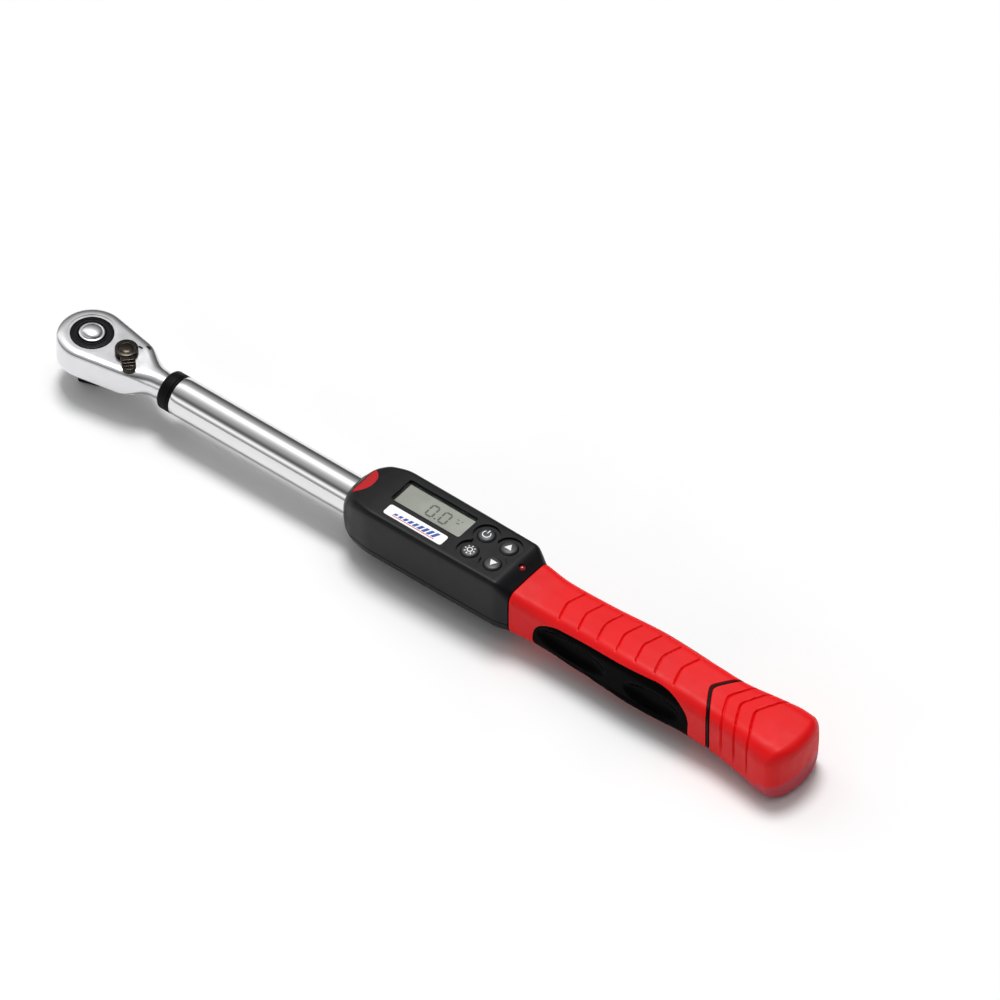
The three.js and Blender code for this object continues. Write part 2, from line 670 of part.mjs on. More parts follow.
function gripSleeve() {
  let sleeve = handleOutside().intersect(beforeChevron(0)).subtract(rod(200, 500, SLEEVE_BORE, 24));
  const pocket = sidePrism(insertOutline(GAP), -BEYOND, -INSERT_DEPTH + GAP);
  sleeve = sleeve.subtract(pocket).subtract(pocket.mirror([0, 1, 0]));
  for (let i = 0; i < GROOVES.count; i += 1) {
    sleeve = sleeve.subtract(chevronGroove(GROOVES.first + i * GROOVES.pitch, GROOVES.depth));
  }
  return sleeve;
}

function capGasket() {
  const band = beforeChevron(CHEVRON_SEAL - GAP).subtract(beforeChevron(GAP));
  const skin = loft(HANDLE_STATIONS, HANDLE.x0, HANDLE.x1, 0.5);
  return skin.intersect(band).subtract(rod(200, 500, SLEEVE_BORE, 24));
}

function endCap() {
  let cap = handleOutside().subtract(beforeChevron(CHEVRON_SEAL));
  for (const x of [428.8, 437.6, 447.2]) cap = cap.subtract(chevronGroove(x + CHEVRON_SEAL, GROOVES.depth));
  cap = cap.add(rod(SPIGOT.x0, 432, SPIGOT.outer, 16));
  return cap.subtract(rod(SPIGOT.x0 - 1, SPIGOT.web, SPIGOT.inner, 16));
}

function battery(x) {
  const { r, length, nubR, nub } = BATTERY;
  const end = x + length;
  return turnedX([[x, 0], [x, r], [end, r], [end, nubR], [end + nub, nubR], [end + nub, 0]], 20);
}

// ---- the assembly ----
const wrench = new THREE.Group();
wrench.name = "torque_wrench";
const onAxis = new THREE.Group();
onAxis.position.z = AXIS_HEIGHT;
wrench.add(onAxis);

// Adds one named piece, with its own material, to the group on the tube axis.
function piece(name, body, material, place = [0, 0, 0], turn = [0, 0, 0], parent = onAxis) {
  const mesh = new THREE.Mesh(geometryOf(body), material());
  mesh.name = name;
  mesh.position.set(...place);
  mesh.rotation.set(...turn);
  parent.add(mesh);
  return mesh;
}

const head = new THREE.Group();
onAxis.add(head);
piece("ratchet_head", ratchetHead(), satinChrome, [0, 0, 0], [0, 0, 0], head);
piece("head_cover_plate", coverPlate(), satinChrome, [0, 0, 0], [0, 0, 0], head);
COVER_SCREWS.forEach(([x, y], i) => {
  const body = screw(1.7, 0.6, 0.8, 5.6);
  piece("cover_screw_" + (i + 1), body, blackSteel, [x, y, -HEAD_HALF + 0.1], [0, 0, 0.5 + i], head);
});

const drive = new THREE.Group();
drive.rotation.z = DRIVE_TURN;
head.add(drive);
piece("drive_gear", driveGear(), blackSteel, [0, 0, 0], [0, 0, 0], drive);
piece("release_button", releaseButton(), satinChrome, [0, 0, 0], [0, 0, 0], drive);
piece("release_pin", post(0, 0, 1.25, -16.6, 8.3, 12), plainSteel, [0, 0, 0], [0, 0, 0], drive);
// Conical, so that its turns nest when the button is pressed right in.
const releaseSpring = spring(5.2, 0.19, 2.6, 3, 2.9);
const springSeat = BUTTON_WELL_FLOOR + 0.2;
piece("release_spring", releaseSpring, springSteel, [0, 0, springSeat], [0, 0, 0], drive);
const ball = solid(new THREE.SphereGeometry(BALL.r, 10, 6));
piece("detent_ball", ball, plainSteel, [BALL.x, 0, BALL.height], [0, 0, 0], drive);

const pawlTurn = THREE.MathUtils.degToRad(3.5);
piece("pawl", pawl(), plainSteel, [PAWL_X, 0, 0], [0, 0, pawlTurn], head);
piece("pawl_pin", post(PAWL_X, 0, 1.1, -6.9, 6.3, 12), plainSteel, [0, 0, 0], [0, 0, 0], head);

const lever = new THREE.Group();
lever.position.x = LEVER_X;
lever.rotation.z = -Math.PI / 4;
head.add(lever);
piece("reversing_lever", reversingLever(), gunmetal, [0, 0, 0], [0, 0, 0], lever);
piece("pawl_plunger", rod(-5.5, -2.6, 1, 12), plainSteel, [0, 0, 0], [0, 0, 0], lever);
const detentBall = solid(new THREE.SphereGeometry(1, 8, 5));
const detentX = LEVER_X + 4.4;
piece("lever_detent_ball", detentBall, plainSteel, [detentX, 0, 7.9], [0, 0, 0], head);
const detentSpring = spring(0.75, 0.14, 1.5, 3);
piece("lever_detent_spring", detentSpring, springSteel, [detentX, 0, 5.2], [0, 0, 0], head);

const shaft = new THREE.Group();
onAxis.add(shaft);
piece("neck_collar", neckCollar(), darkRubber, [0, 0, 0], [0, 0, 0], shaft);
piece("main_tube", mainTube(), polishedChrome, [0, 0, 0], [0, 0, 0], shaft);
piece("sensor_beam", sensorBeam(), plainSteel, [0, 0, 0], [0, 0, 0], shaft);
const crossPin = post(0, 0, PIN_R, -8, 8, 16);
piece("beam_pin", crossPin, plainSteel, [FORK_PIN_X, 0, 0], [Math.PI / 2, 0, 0], shaft);
piece("tube_pin", post(0, 0, PIN_R, -10.8, 10.8, 14), plainSteel, [TUBE_PIN_X, 0, 0], [0, 0, 0], shaft);
const gauge = block(-5, 5, 0, 0.4, -3, 3);
piece("strain_gauge_left", gauge, gaugeFoil, [130, BEAM.thinY + 0.1, 0], [0, 0, 0], shaft);
piece("strain_gauge_right", gauge, gaugeFoil, [130, -BEAM.thinY - 0.1, 0], [0, 0, Math.PI], shaft);
piece("sensor_cable", sensorCable(), cableGrey, [0, 0, 0], [0, 0, 0], shaft);

const displayCase = new THREE.Group();
onAxis.add(displayCase);
const inCase = (name, body, material, place, turn) => piece(name, body, material, place, turn, displayCase);
inCase("upper_housing", upperHousing(), blackPlastic);
inCase("lower_housing", lowerHousing(), blackPlastic);
inCase("nose_insert", caseOutside().intersect(crescent(0)), gripRed);
const { x0: glassX0, x1: glassX1, y0: glassY0, y1: glassY1 } = DISPLAY;
const glassOutline = roundedRect(glassX0 + GAP, glassX1 - GAP, glassY0 + GAP, glassY1 - GAP, 0.8);
const glass = prism(glassOutline, 17.9, 18.7, 3);
inCase("display_window", glass, clearWindow);
const panel = block(DISPLAY.x0 - 0.7, DISPLAY.x1 + 0.7, DISPLAY.y0 - 0.7, DISPLAY.y1 + 0.7, 13.6, 17);
inCase("lcd_panel", panel, lcdGrey);
inCase("label_plate", prism(labelShape(-0.1), DECK - 0.45, DECK + 0.1, 4), whiteLabel);
inCase("main_pcb", block(PCB.x0, PCB.x1, -PCB.halfY, PCB.halfY, PCB.z0, PCB.z1), boardGreen);
inCase("keypad_bezel", keypadBezel(), blackPlastic);
const buttonNames = ["button_power", "button_unit", "button_up", "button_down"];
buttonPlaces().forEach(([x, y], i) => {
  inCase(buttonNames[i], pushButton(), buttonGrey, [x, y, 14.9]);
  inCase("switch_" + (i + 1), block(-2.6, 2.6, -2.6, 2.6, 0, 0.7), plainSteel, [x, y, PCB.z1 + 0.1]);
});
inCase("led_lens", ledLens(), redLens, [LED.x, LED.y, 0]);
inCase("buzzer", post(0, 0, 4.5, 0, 3, 20), chipBlack, [215, -9.7, PCB.z1 + 0.2]);
inCase("processor_chip", block(-3.5, 3.5, -2, 2, 0, 1), chipBlack, [240, -8, PCB.z1 + 0.2]);
screwPlaces().forEach(([x, y], i) => {
  inCase("housing_screw_" + (i + 1), screw(2.2, 1.4, 0.85, 12.5), blackSteel, [x, y, -13.6], [0, 0, i]);
});

const handle = new THREE.Group();
onAxis.add(handle);
const inHandle = (name, body, material, place, turn) => piece(name, body, material, place, turn, handle);
inHandle("grip_sleeve", gripSleeve(), gripRed);
inHandle("side_insert_right", sideInsert(), insertBlack);
inHandle("side_insert_left", sideInsert().mirror([0, 1, 0]), insertBlack);
inHandle("battery_tube", hollowRod(299, 402, 8.8, 7.5, 24), blackPlastic);
inHandle("battery_front", battery(BATTERY.x[0]), batteryJacket);
inHandle("battery_rear", battery(BATTERY.x[1]), batteryJacket);
inHandle("front_contact", rod(296.6, 297.6, 8.8, 24), brassGold);
inHandle("front_contact_spring", spring(4, 0.5, 5, 3), springSteel, [298, 0, 0], [0, Math.PI / 2, 0]);
inHandle("cap_gasket", capGasket(), darkRubber);
inHandle("end_cap", endCap(), gripRed);
inHandle("rear_contact", rod(410.6, 411.6, 7.2, 20), brassGold);
inHandle("rear_contact_spring", spring(4.4, 0.5, 5.8, 3), springSteel, [404.5, 0, 0], [0, Math.PI / 2, 0]);

export default wrench;
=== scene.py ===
"""Looks of the digital torque wrench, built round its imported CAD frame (Blender 4.5).

Shapes are worked out in millimetres, with z measured from the tube's axis as in the CAD, and are
turned into metres when a mesh is made. Places and sizes come from the CAD nodes' own boxes.
"""

import math

import bmesh
import bpy
import numpy as np
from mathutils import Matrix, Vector


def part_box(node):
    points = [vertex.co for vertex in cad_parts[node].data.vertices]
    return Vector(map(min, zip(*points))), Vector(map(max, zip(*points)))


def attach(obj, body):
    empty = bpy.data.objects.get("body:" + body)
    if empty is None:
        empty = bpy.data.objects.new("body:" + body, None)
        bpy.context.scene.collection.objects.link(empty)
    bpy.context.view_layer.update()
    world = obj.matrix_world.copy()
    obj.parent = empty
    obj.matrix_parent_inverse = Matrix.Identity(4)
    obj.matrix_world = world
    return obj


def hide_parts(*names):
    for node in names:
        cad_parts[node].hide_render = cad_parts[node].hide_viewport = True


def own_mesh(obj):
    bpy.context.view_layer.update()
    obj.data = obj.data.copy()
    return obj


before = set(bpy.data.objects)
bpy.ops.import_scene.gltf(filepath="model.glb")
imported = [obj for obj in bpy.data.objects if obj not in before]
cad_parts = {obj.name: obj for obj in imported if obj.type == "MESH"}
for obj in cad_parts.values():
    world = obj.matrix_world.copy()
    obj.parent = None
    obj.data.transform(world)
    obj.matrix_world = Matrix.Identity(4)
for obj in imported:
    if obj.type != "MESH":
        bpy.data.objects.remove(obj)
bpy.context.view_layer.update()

MM = 0.001


def node_box(node):
    """A CAD node's low and high corners in millimetres, in the part's frame."""
    low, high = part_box(node)
    return np.array(low) / MM, np.array(high) / MM


# ---- places and sizes read from the frame ----
TUBE_LOW, TUBE_HIGH = node_box("main_tube")
AXIS = (TUBE_LOW[2] + TUBE_HIGH[2]) / 2
TUBE_R = (TUBE_HIGH[1] - TUBE_LOW[1]) / 2
COLLAR_LOW, COLLAR_HIGH = node_box("neck_collar")
HEAD_LOW, HEAD_HIGH = node_box("ratchet_head")
HEAD_R = -HEAD_LOW[0]
HEAD_HALF = HEAD_HIGH[2] - AXIS
RING_TOP = node_box("drive_gear")[1][2] - AXIS
CASE_LOW, CASE_HIGH = node_box("upper_housing")
DECK = CASE_HIGH[2] - AXIS
SEAM = CASE_LOW[2] - AXIS
LCD_TOP = node_box("lcd_panel")[1][2] - AXIS
WINDOW_LOW, WINDOW_HIGH = node_box("display_window")
LABEL_LOW, LABEL_HIGH = node_box("label_plate")
SLEEVE_START = node_box("grip_sleeve")[0][0]
HANDLE_END = node_box("end_cap")[1][0]


def centre_of(node):
    low, high = node_box(node)
    middle = (low + high) / 2
    return middle[0], middle[1], middle[2] - AXIS


# ---- the wrench's own proportions ----
SHOULDER_X = 28.0
SHOULDER_Y = 14.2
NECK_R = 7.6
NECK_START = 48.0
LEVER_X = 23.4
LEVER_R = 6.3
LEVER_ANGLE = -math.pi / 4
DRIVE_ANGLE = math.radians(20)
GAP = 0.3
GEAR_TEETH = 24
GEAR_R = 12.0
GEAR_ROOT = 10.8
GEAR_TOP = 4.6
GEAR_BOTTOM = -6.4
PAWL_X = 15.9
LEVER_SHAFT_R = 3.0
DETENT_OUT = 4.4
DRIVE_SQUARE = 12.7
BALL_HEIGHT = -17.0
PIN_BORE_R = 1.9
WELL_FLOOR = 3.2

# Stations along the case and the handle: x, half-width, height over the axis, depth under it,
# top corner radius, bottom corner radius.
CASE_STATIONS = (
    (180.0, 12.4, 12.6, 12.4, 9.0, 9.0),
    (184.0, 15.8, 16.0, 14.2, 7.0, 8.0),
    (191.0, 18.3, 18.3, 15.4, 4.5, 7.0),
    (203.0, 19.8, 19.2, 16.0, 2.8, 7.0),
    (285.0, 19.3, 19.2, 16.2, 2.8, 7.0),
    (294.0, 17.0, 13.8, 16.4, 6.0, 7.0),
)
HANDLE_STATIONS = (
    (294.0, 17.0, 13.8, 16.4, 6.0, 7.0),
    (313.0, 16.0, 12.0, 16.5, 6.5, 8.0),
    (340.0, 16.3, 12.7, 17.0, 7.0, 8.0),
    (375.0, 17.5, 13.8, 18.5, 7.0, 8.0),
    (410.0, 17.0, 12.5, 18.2, 7.0, 8.0),
    (427.0, 17.2, 11.5, 19.0, 7.0, 8.0),
    (454.0, 20.0, 12.5, 22.8, 8.0, 9.0),
    (464.0, 21.5, 12.2, 24.4, 9.0, 10.0),
    (480.0, 22.0, 10.6, 24.5, 9.6, 11.0),
)
END_ROUND = 5.5


# ---- mesh helpers ----
def make_object(name, points, faces, material, body, sharp=35.0):
    """A smooth-shaded mesh from points in millimetres, riding on a CAD body."""
    mesh = bpy.data.meshes.new(name)
    points = np.asarray(points, float).reshape(-1, 3)
    metres = (points + np.array([0.0, 0.0, AXIS])) * MM
    mesh.from_pydata(metres.tolist(), [], faces)
    tidy_mesh(mesh)
    obj = bpy.data.objects.new(name, mesh)
    bpy.context.scene.collection.objects.link(obj)
    if material:
        mesh.materials.append(material)
    shade(obj, sharp)
    if body:
        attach(obj, body)
    return obj


def tidy_mesh(mesh):
    """Merges doubled points and turns every face outwards."""
    bm = bmesh.new()
    bm.from_mesh(mesh)
    bmesh.ops.remove_doubles(bm, verts=bm.verts, dist=1e-6)
    bmesh.ops.recalc_face_normals(bm, faces=bm.faces)
    bm.to_mesh(mesh)
    bm.free()


def shade(obj, sharp):
    mesh = obj.data
    mesh.polygons.foreach_set("use_smooth", [True] * len(mesh.polygons))
    mesh.set_sharp_from_angle(angle=math.radians(sharp))


def skin(rings, ends="capped"):
    """Quads over a stack of closed rings, whose two ends are capped, left open or looped together."""
    rings = np.asarray(rings, float)
    stacks, count = rings.shape[:2]
    last = (stacks - 1) * count
    faces = []
    for base in range(0, last, count):
        for j in range(count):
            k = (j + 1) % count
            faces.append((base + j, base + k, base + count + k, base + count + j))
    if ends == "capped":
        faces.append(tuple(range(count)))
        faces.append(tuple(range(last, last + count)))
    if ends == "looped":
        for j in range(count):
            k = (j + 1) % count
            faces.append((last + j, last + k, k, j))
    return rings.reshape(-1, 3), faces


def turned(profile, sides, axis="z", centre=(0.0, 0.0, 0.0), ends="capped"):
    """A solid of revolution from (along, radius) pairs. A looped profile makes a ring."""
    angles = np.linspace(0, 2 * math.pi, sides, endpoint=False)
    rings = []
    for along, radius in profile:
        c = radius * np.cos(angles)
        s = radius * np.sin(angles)
        flat = np.full(sides, float(along))
        rings.append(np.stack([flat, c, s] if axis == "x" else [c, s, flat], axis=1))
    points, faces = skin(rings, ends)
    return points + np.array(centre), faces


def cylinder(z0, z1, radius, sides, x=0.0, y=0.0):
    return turned([(z0, radius), (z1, radius)], sides, centre=(x, y, 0))


def slab(outline, z0, z1):
    """A plan outline as a plate between two heights."""
    outline = np.asarray(outline, float)
    low = np.column_stack([outline, np.full(len(outline), float(z0))])
    high = np.column_stack([outline, np.full(len(outline), float(z1))])
    return skin([low, high])


def side_slab(outline, y0, y1):
    """A side outline, in x and z, as a plate between two y values."""
    outline = np.asarray(outline, float)
    near = np.column_stack([outline[:, 0], np.full(len(outline), float(y0)), outline[:, 1]])
    far = np.column_stack([outline[:, 0], np.full(len(outline), float(y1)), outline[:, 1]])
    return skin([near, far])


def box_solid(x0, x1, y0, y1, z0, z1):
    return slab([(x0, y0), (x1, y0), (x1, y1), (x0, y1)], z0, z1)


def arc(centre, radius, start, end, steps):
    """Points on a circle, angles in degrees."""
    angles = np.radians(np.linspace(start, end, steps + 1))
    return [(centre[0] + radius * math.cos(a), centre[1] + radius * math.sin(a)) for a in angles]


def rounded_rectangle(x0, x1, y0, y1, r, steps=6):
    corners = (
        ((x1 - r, y0 + r), -90),
        ((x1 - r, y1 - r), 0),
        ((x0 + r, y1 - r), 90),
        ((x0 + r, y0 + r), 180),
    )
    return [p for centre, start in corners for p in arc(centre, r, start, start + 90, steps)]


def evaluated(obj):
    """The object's mesh with its modifiers applied."""
    graph = bpy.context.evaluated_depsgraph_get()
    return bpy.data.meshes.new_from_object(obj.evaluated_get(graph), depsgraph=graph)


def combine(obj, shape, operation="DIFFERENCE"):
    """Cuts, joins or keeps the overlap of obj with another shape, and applies it."""
    cutter = make_object("cutter", *shape, None, None)
    modifier = obj.modifiers.new("combine", "BOOLEAN")
    modifier.operation = operation
    modifier.solver = "EXACT"
    modifier.object = cutter
    bpy.context.view_layer.update()
    mesh = evaluated(obj)
    obj.modifiers.clear()
    obj.data = mesh
    bpy.data.objects.remove(cutter)


def edge_radius(obj, width, angle=38.0):
    """A bevel along every edge that turns more than the angle."""
    bevel = obj.modifiers.new("edge radius", "BEVEL")
    bevel.width = width * MM
    bevel.segments = 2
    bevel.limit_method = "ANGLE"
    bevel.angle_limit = math.radians(angle)


def round_edges(obj, width):
    """Small real radii on every hard edge, shaded smooth."""
    edge_radius(obj, width)
    weighted = obj.modifiers.new("weighted normals", "WEIGHTED_NORMAL")
    weighted.keep_sharp = False
    obj.data.polygons.foreach_set("use_smooth", [True] * len(obj.data.polygons))


# ---- rounded sections that run along the case and the handle ----
def smooth_value(xs, ys, x):
    """Monotone cubic interpolation: no overshoot between stations."""
    xs = np.asarray(xs, float)
    ys = np.asarray(ys, float)
    step = np.diff(xs)
    slope = np.diff(ys) / step
    tangent = np.zeros(len(xs))
    tangent[0] = slope[0]
    tangent[-1] = slope[-1]
    for i in range(1, len(xs) - 1):
        if slope[i - 1] * slope[i] > 0:
            tangent[i] = 2 * slope[i - 1] * slope[i] / (slope[i - 1] + slope[i])
    i = np.clip(np.searchsorted(xs, x) - 1, 0, len(step) - 1)
    t = np.clip((x - xs[i]) / step[i], 0, 1)
    h00 = (1 + 2 * t) * (1 - t) ** 2
    h10 = t * (1 - t) ** 2
    h01 = t * t * (3 - 2 * t)
    h11 = t * t * (t - 1)
    return h00 * ys[i] + h10 * step[i] * tangent[i] + h01 * ys[i + 1] + h11 * step[i] * tangent[i + 1]


def half_section(w, top, bottom, rt, rb, crown, steps=10):
    """The right half of a rounded section, from bottom centre to top centre."""
    points = [(0.0, -bottom)]
    points += arc((w - rb, rb - bottom), rb, -90, 0, steps)
    points += arc((w - rt, top - rt), rt, 0, 90, steps)
    points.append((0.0, top))
    points = np.array(points)
    above = points[:, 1] > top - rt
    lift = crown * (1 - (points[:, 0] / w) ** 2)
    points[:, 1] += np.where(above, lift, 0)
    return points


def spread(points, count, corner_weight=6.0):
    """The polyline resampled, with more points where it turns."""
    delta = np.diff(points, axis=0)
    length = np.hypot(delta[:, 0], delta[:, 1])
    heading = np.unwrap(np.arctan2(delta[:, 1], delta[:, 0]))
    turn = np.abs(np.diff(heading, prepend=heading[0]))
    station = np.concatenate([[0], np.cumsum(length + corner_weight * turn)])
    wanted = np.linspace(0, station[-1], count)
    return np.column_stack([np.interp(wanted, station, points[:, k]) for k in (0, 1)])


def section_ring(stations, x, inset=0.0, crown=0.0, half_count=61):
    """All round one section: y and z of 2 * half_count - 2 points, from the bottom centre."""
    table = np.array(stations)
    w, top, bottom, rt, rb = (smooth_value(table[:, 0], table[:, k], x) for k in range(1, 6))
    rt = max(0.4, rt - inset)
    rb = max(0.4, rb - inset)
    half = half_section(w - inset, top - inset, bottom - inset, rt, rb, crown)
    half = spread(half, half_count)
    other = half[-2:0:-1] * np.array([-1, 1])
    return np.vstack([half, other])


def steady(x):
    """A front or back line that stays at one x for every y."""
    return lambda y: np.full_like(y, x)


class Surface:
    """A body whose sections are tabulated along x, so that any ring can be read off it."""

    def __init__(self, stations, x0, x1, step, crown=0.0, inset=None, half_count=61):
        self.xs = np.arange(x0, x1 + step / 2, step)
        rings = []
        for x in self.xs:
            drawn_in = inset(x) if inset else 0.0
            rings.append(section_ring(stations, x, drawn_in, crown, half_count))
        self.table = np.array(rings)

    def at(self, x):
        """Points for an x given for each place round the ring."""
        place = np.clip((x - self.xs[0]) / (self.xs[1] - self.xs[0]), 0, len(self.xs) - 1.001)
        i = place.astype(int)
        t = (place - i)[:, None]
        j = np.arange(self.table.shape[1])
        yz = self.table[i, j] * (1 - t) + self.table[i + 1, j] * t
        return np.column_stack([x, yz])

    def between(self, front, back, count, ease=None):
        """Rings from front(y) to back(y), where each is an x or a function of y."""
        rings = []
        start = front if callable(front) else steady(front)
        end = back if callable(back) else steady(back)
        y = self.table[0, :, 0]
        for u in np.linspace(0, 1, count):
            if ease:
                u = ease(u)
            for _ in range(3):
                x = start(y) + u * (end(y) - start(y))
                ring = self.at(x)
                y = ring[:, 1]
            rings.append(ring)
        return np.array(rings)


def grid_normals(rings):
    """Outward normals of a stack of rings."""
    along = np.gradient(rings, axis=0)
    around = np.roll(rings, -1, axis=1) - np.roll(rings, 1, axis=1)
    normal = np.cross(around, along)
    normal /= np.linalg.norm(normal, axis=2, keepdims=True) + 1e-9
    outward = rings - rings.mean(axis=1, keepdims=True)
    flip = np.sign((normal * outward).sum(axis=2, keepdims=True).mean())
    return normal * flip


def sunk(rings, depth):
    """The rings pushed inwards by a depth for each point."""
    return rings - grid_normals(rings) * depth[..., None]


def groove(distance, width, depth):
    """A soft-edged V groove, by the distance from its centre line."""
    return depth * np.clip(1 - np.abs(distance) / (width / 2), 0, 1) ** 0.8



# ---- node materials ----
class Shader:
    """A small builder for one material's node tree."""

    def __init__(self, name):
        self.material = bpy.data.materials.new(name)
        self.material.use_nodes = True
        self.tree = self.material.node_tree
        self.bsdf = self.tree.nodes["Principled BSDF"]
        self.place = self.node("ShaderNodeTexCoord").outputs["Object"]

    def node(self, kind, **values):
        made = self.tree.nodes.new(kind)
        for key, value in values.items():
            setattr(made, key, value)
        return made

    def link(self, source, target):
        self.tree.links.new(source, target)

    def set(self, **values):
        for key, value in values.items():
            self.bsdf.inputs[key.replace("_", " ")].default_value = value

    def stretched(self, scale):
        mapping = self.node("ShaderNodeMapping")
        mapping.inputs["Scale"].default_value = scale
        self.link(self.place, mapping.inputs["Vector"])
        return mapping.outputs["Vector"]

    def noise(self, size, detail=3.0, roughness=0.55, stretch=None):
        """Noise whose features are about this many millimetres across."""
        made = self.node("ShaderNodeTexNoise")
        made.inputs["Scale"].default_value = 1.0 / (size * MM)
        made.inputs["Detail"].default_value = detail
        made.inputs["Roughness"].default_value = roughness
        source = self.stretched(stretch) if stretch else self.place
        self.link(source, made.inputs["Vector"])
        return made.outputs["Fac"]

    def span(self, source, low, high, start=0.3, end=0.7):
        """Maps start..end of a value to low..high."""
        made = self.node("ShaderNodeMapRange")
        for key, value in zip(("From Min", "From Max", "To Min", "To Max"), (start, end, low, high)):
            made.inputs[key].default_value = value
        self.link(source, made.inputs["Value"])
        return made.outputs["Result"]

    def blend(self, factor, first, second):
        """Between two colours by a factor socket."""
        made = self.node("ShaderNodeMix", data_type="RGBA")
        self.link(factor, made.inputs["Factor"])
        for socket, value in ((made.inputs["A"], first), (made.inputs["B"], second)):
            if isinstance(value, tuple):
                socket.default_value = value
            else:
                self.link(value, socket)
        return made.outputs["Result"]

    def multiply_add(self, source, factor, added):
        made = self.node("ShaderNodeMath", operation="MULTIPLY_ADD")
        self.link(source, made.inputs[0])
        made.inputs[1].default_value = factor
        self.link(added, made.inputs[2])
        return made.outputs[0]

    def mottled(self, size, detail, first, second):
        """Drifts between two colours over patches of about this many millimetres."""
        return self.blend(self.span(self.noise(size, detail), 0.0, 1.0), first, second)

    def colour(self, source):
        self.link(source, self.bsdf.inputs["Base Color"])

    def rough(self, source):
        self.link(source, self.bsdf.inputs["Roughness"])

    def bump(self, *layers):
        """Height layers as (socket, height in millimetres), stacked."""
        normal = None
        for source, height in layers:
            made = self.node("ShaderNodeBump")
            made.inputs["Distance"].default_value = height * MM
            self.link(source, made.inputs["Height"])
            if normal:
                self.link(normal, made.inputs["Normal"])
            normal = made.outputs["Normal"]
        self.link(normal, self.bsdf.inputs["Normal"])

    def wear_and_edge_highlight(self, base, edge_colour, amount, radius):
        """Lighter colour where the shape turns sharply: partly rubbed wear, partly a painted highlight along
        the edges.
        """
        bevel = self.node("ShaderNodeBevel", samples=4)
        bevel.inputs["Radius"].default_value = radius * MM
        geometry = self.node("ShaderNodeNewGeometry")
        dot = self.node("ShaderNodeVectorMath", operation="DOT_PRODUCT")
        self.link(bevel.outputs["Normal"], dot.inputs[0])
        self.link(geometry.outputs["Normal"], dot.inputs[1])
        edge = self.span(dot.outputs["Value"], amount, 0.0, 0.86, 0.995)
        return self.blend(edge, base, edge_colour)


def rgb(r, g, b):
    """A linear colour from 8-bit sRGB values."""
    def linear(v):
        v /= 255
        return v / 12.92 if v <= 0.04045 else ((v + 0.055) / 1.055) ** 2.4

    return (linear(r), linear(g), linear(b), 1.0)


def scaled(colour, share):
    return tuple(min(1.0, c * share) for c in colour[:3]) + (1.0,)


def metal(name, colour, roughness, grain=0.35, stretch=None, variation=0.06, edge=None, dents=0.0):
    s = Shader(name)
    s.set(Metallic=1.0)
    base = s.mottled(9.0, 3.0, colour, scaled(colour, 1 - variation))
    # Lighter edges: partly rubbed wear, partly a painted edge highlight.
    if edge:
        base = s.wear_and_edge_highlight(base, edge, 0.7, 0.35)
    s.colour(base)
    fine = s.noise(grain, 4.0, 0.6, stretch)
    smear = s.noise(5.0, 4.0, 0.6)
    both = s.multiply_add(fine, 0.5, smear)
    s.rough(s.span(both, roughness * 0.8, roughness * 1.25, 0.45, 1.05))
    layers = [(fine, 0.004)]
    if dents:
        layers.append((s.noise(2.5, 2.0), dents))
    s.bump(*layers)
    return s.material


def plastic(name, colour, roughness, grain=0.5, depth=0.02, variation=0.12, edge=None, specular=0.5):
    s = Shader(name)
    s.set(Specular_IOR_Level=specular)
    base = s.mottled(14.0, 4.0, scaled(colour, 1 - variation), scaled(colour, 1 + variation))
    # Lighter edges: partly rubbed wear, partly a painted edge highlight.
    if edge:
        base = s.wear_and_edge_highlight(base, edge, 0.5, 0.4)
    s.colour(base)
    fine = s.noise(grain, 2.0, 0.5)
    wear = s.noise(7.0, 4.0, 0.65)
    s.rough(s.span(wear, roughness * 0.86, min(1.0, roughness * 1.16)))
    s.bump((fine, depth))
    return s.material


def chrome_satin():
    return metal("satin chrome", rgb(226, 226, 228), 0.2, 0.18, variation=0.05, dents=0.004)


def chrome_polished():
    """Drawn tube: fine lines along its length."""
    return metal("polished chrome", rgb(232, 232, 233), 0.1, 0.25, (0.04, 1.0, 1.0), 0.03)


def black_oxide():
    return metal("black oxide steel", rgb(26, 26, 27), 0.42, 0.3, variation=0.2, edge=rgb(70, 70, 72))


def bronze_grey():
    return metal("gunmetal", rgb(56, 51, 46), 0.24, 0.3, variation=0.3, edge=rgb(150, 140, 130))


def bare_steel():
    return metal("plain steel", rgb(190, 190, 192), 0.3, 0.2, variation=0.08)


def spring_wire():
    return metal("spring steel", rgb(170, 171, 174), 0.28, 0.15, (1.0, 1.0, 0.3), variation=0.1)


def brass():
    return metal("brass", rgb(214, 178, 106), 0.3, 0.25, variation=0.15)


def case_plastic():
    """Moulded case: a fine spark-eroded grain over near-black."""
    return plastic("black plastic", rgb(14, 14, 17), 0.38, 0.45, 0.03, 0.15, rgb(40, 40, 44), 0.2)


def keypad_plastic():
    return plastic("button plastic", rgb(44, 45, 48), 0.42, 0.4, 0.012, 0.1)


def glyph_white():
    return plastic("printed white", rgb(232, 232, 230), 0.5, 0.4, 0.004, 0.03)


def collar_rubber():
    return plastic("dark rubber", rgb(6, 6, 7), 0.5, 0.7, 0.03, 0.2, specular=0.1)


def label_white():
    return plastic("white label", rgb(247, 247, 248), 0.32, 0.6, 0.003, 0.02)


def label_ink(name, colour):
    return plastic(name, colour, 0.4, 0.5, 0.003, 0.1)


def frame_and_shade_black():
    # Black for the display frame, also standing in as painted shade of the recess walls.
    return plastic("frame black and painted shade", rgb(12, 12, 13), 0.5, 0.5, 0.02, 0.2)


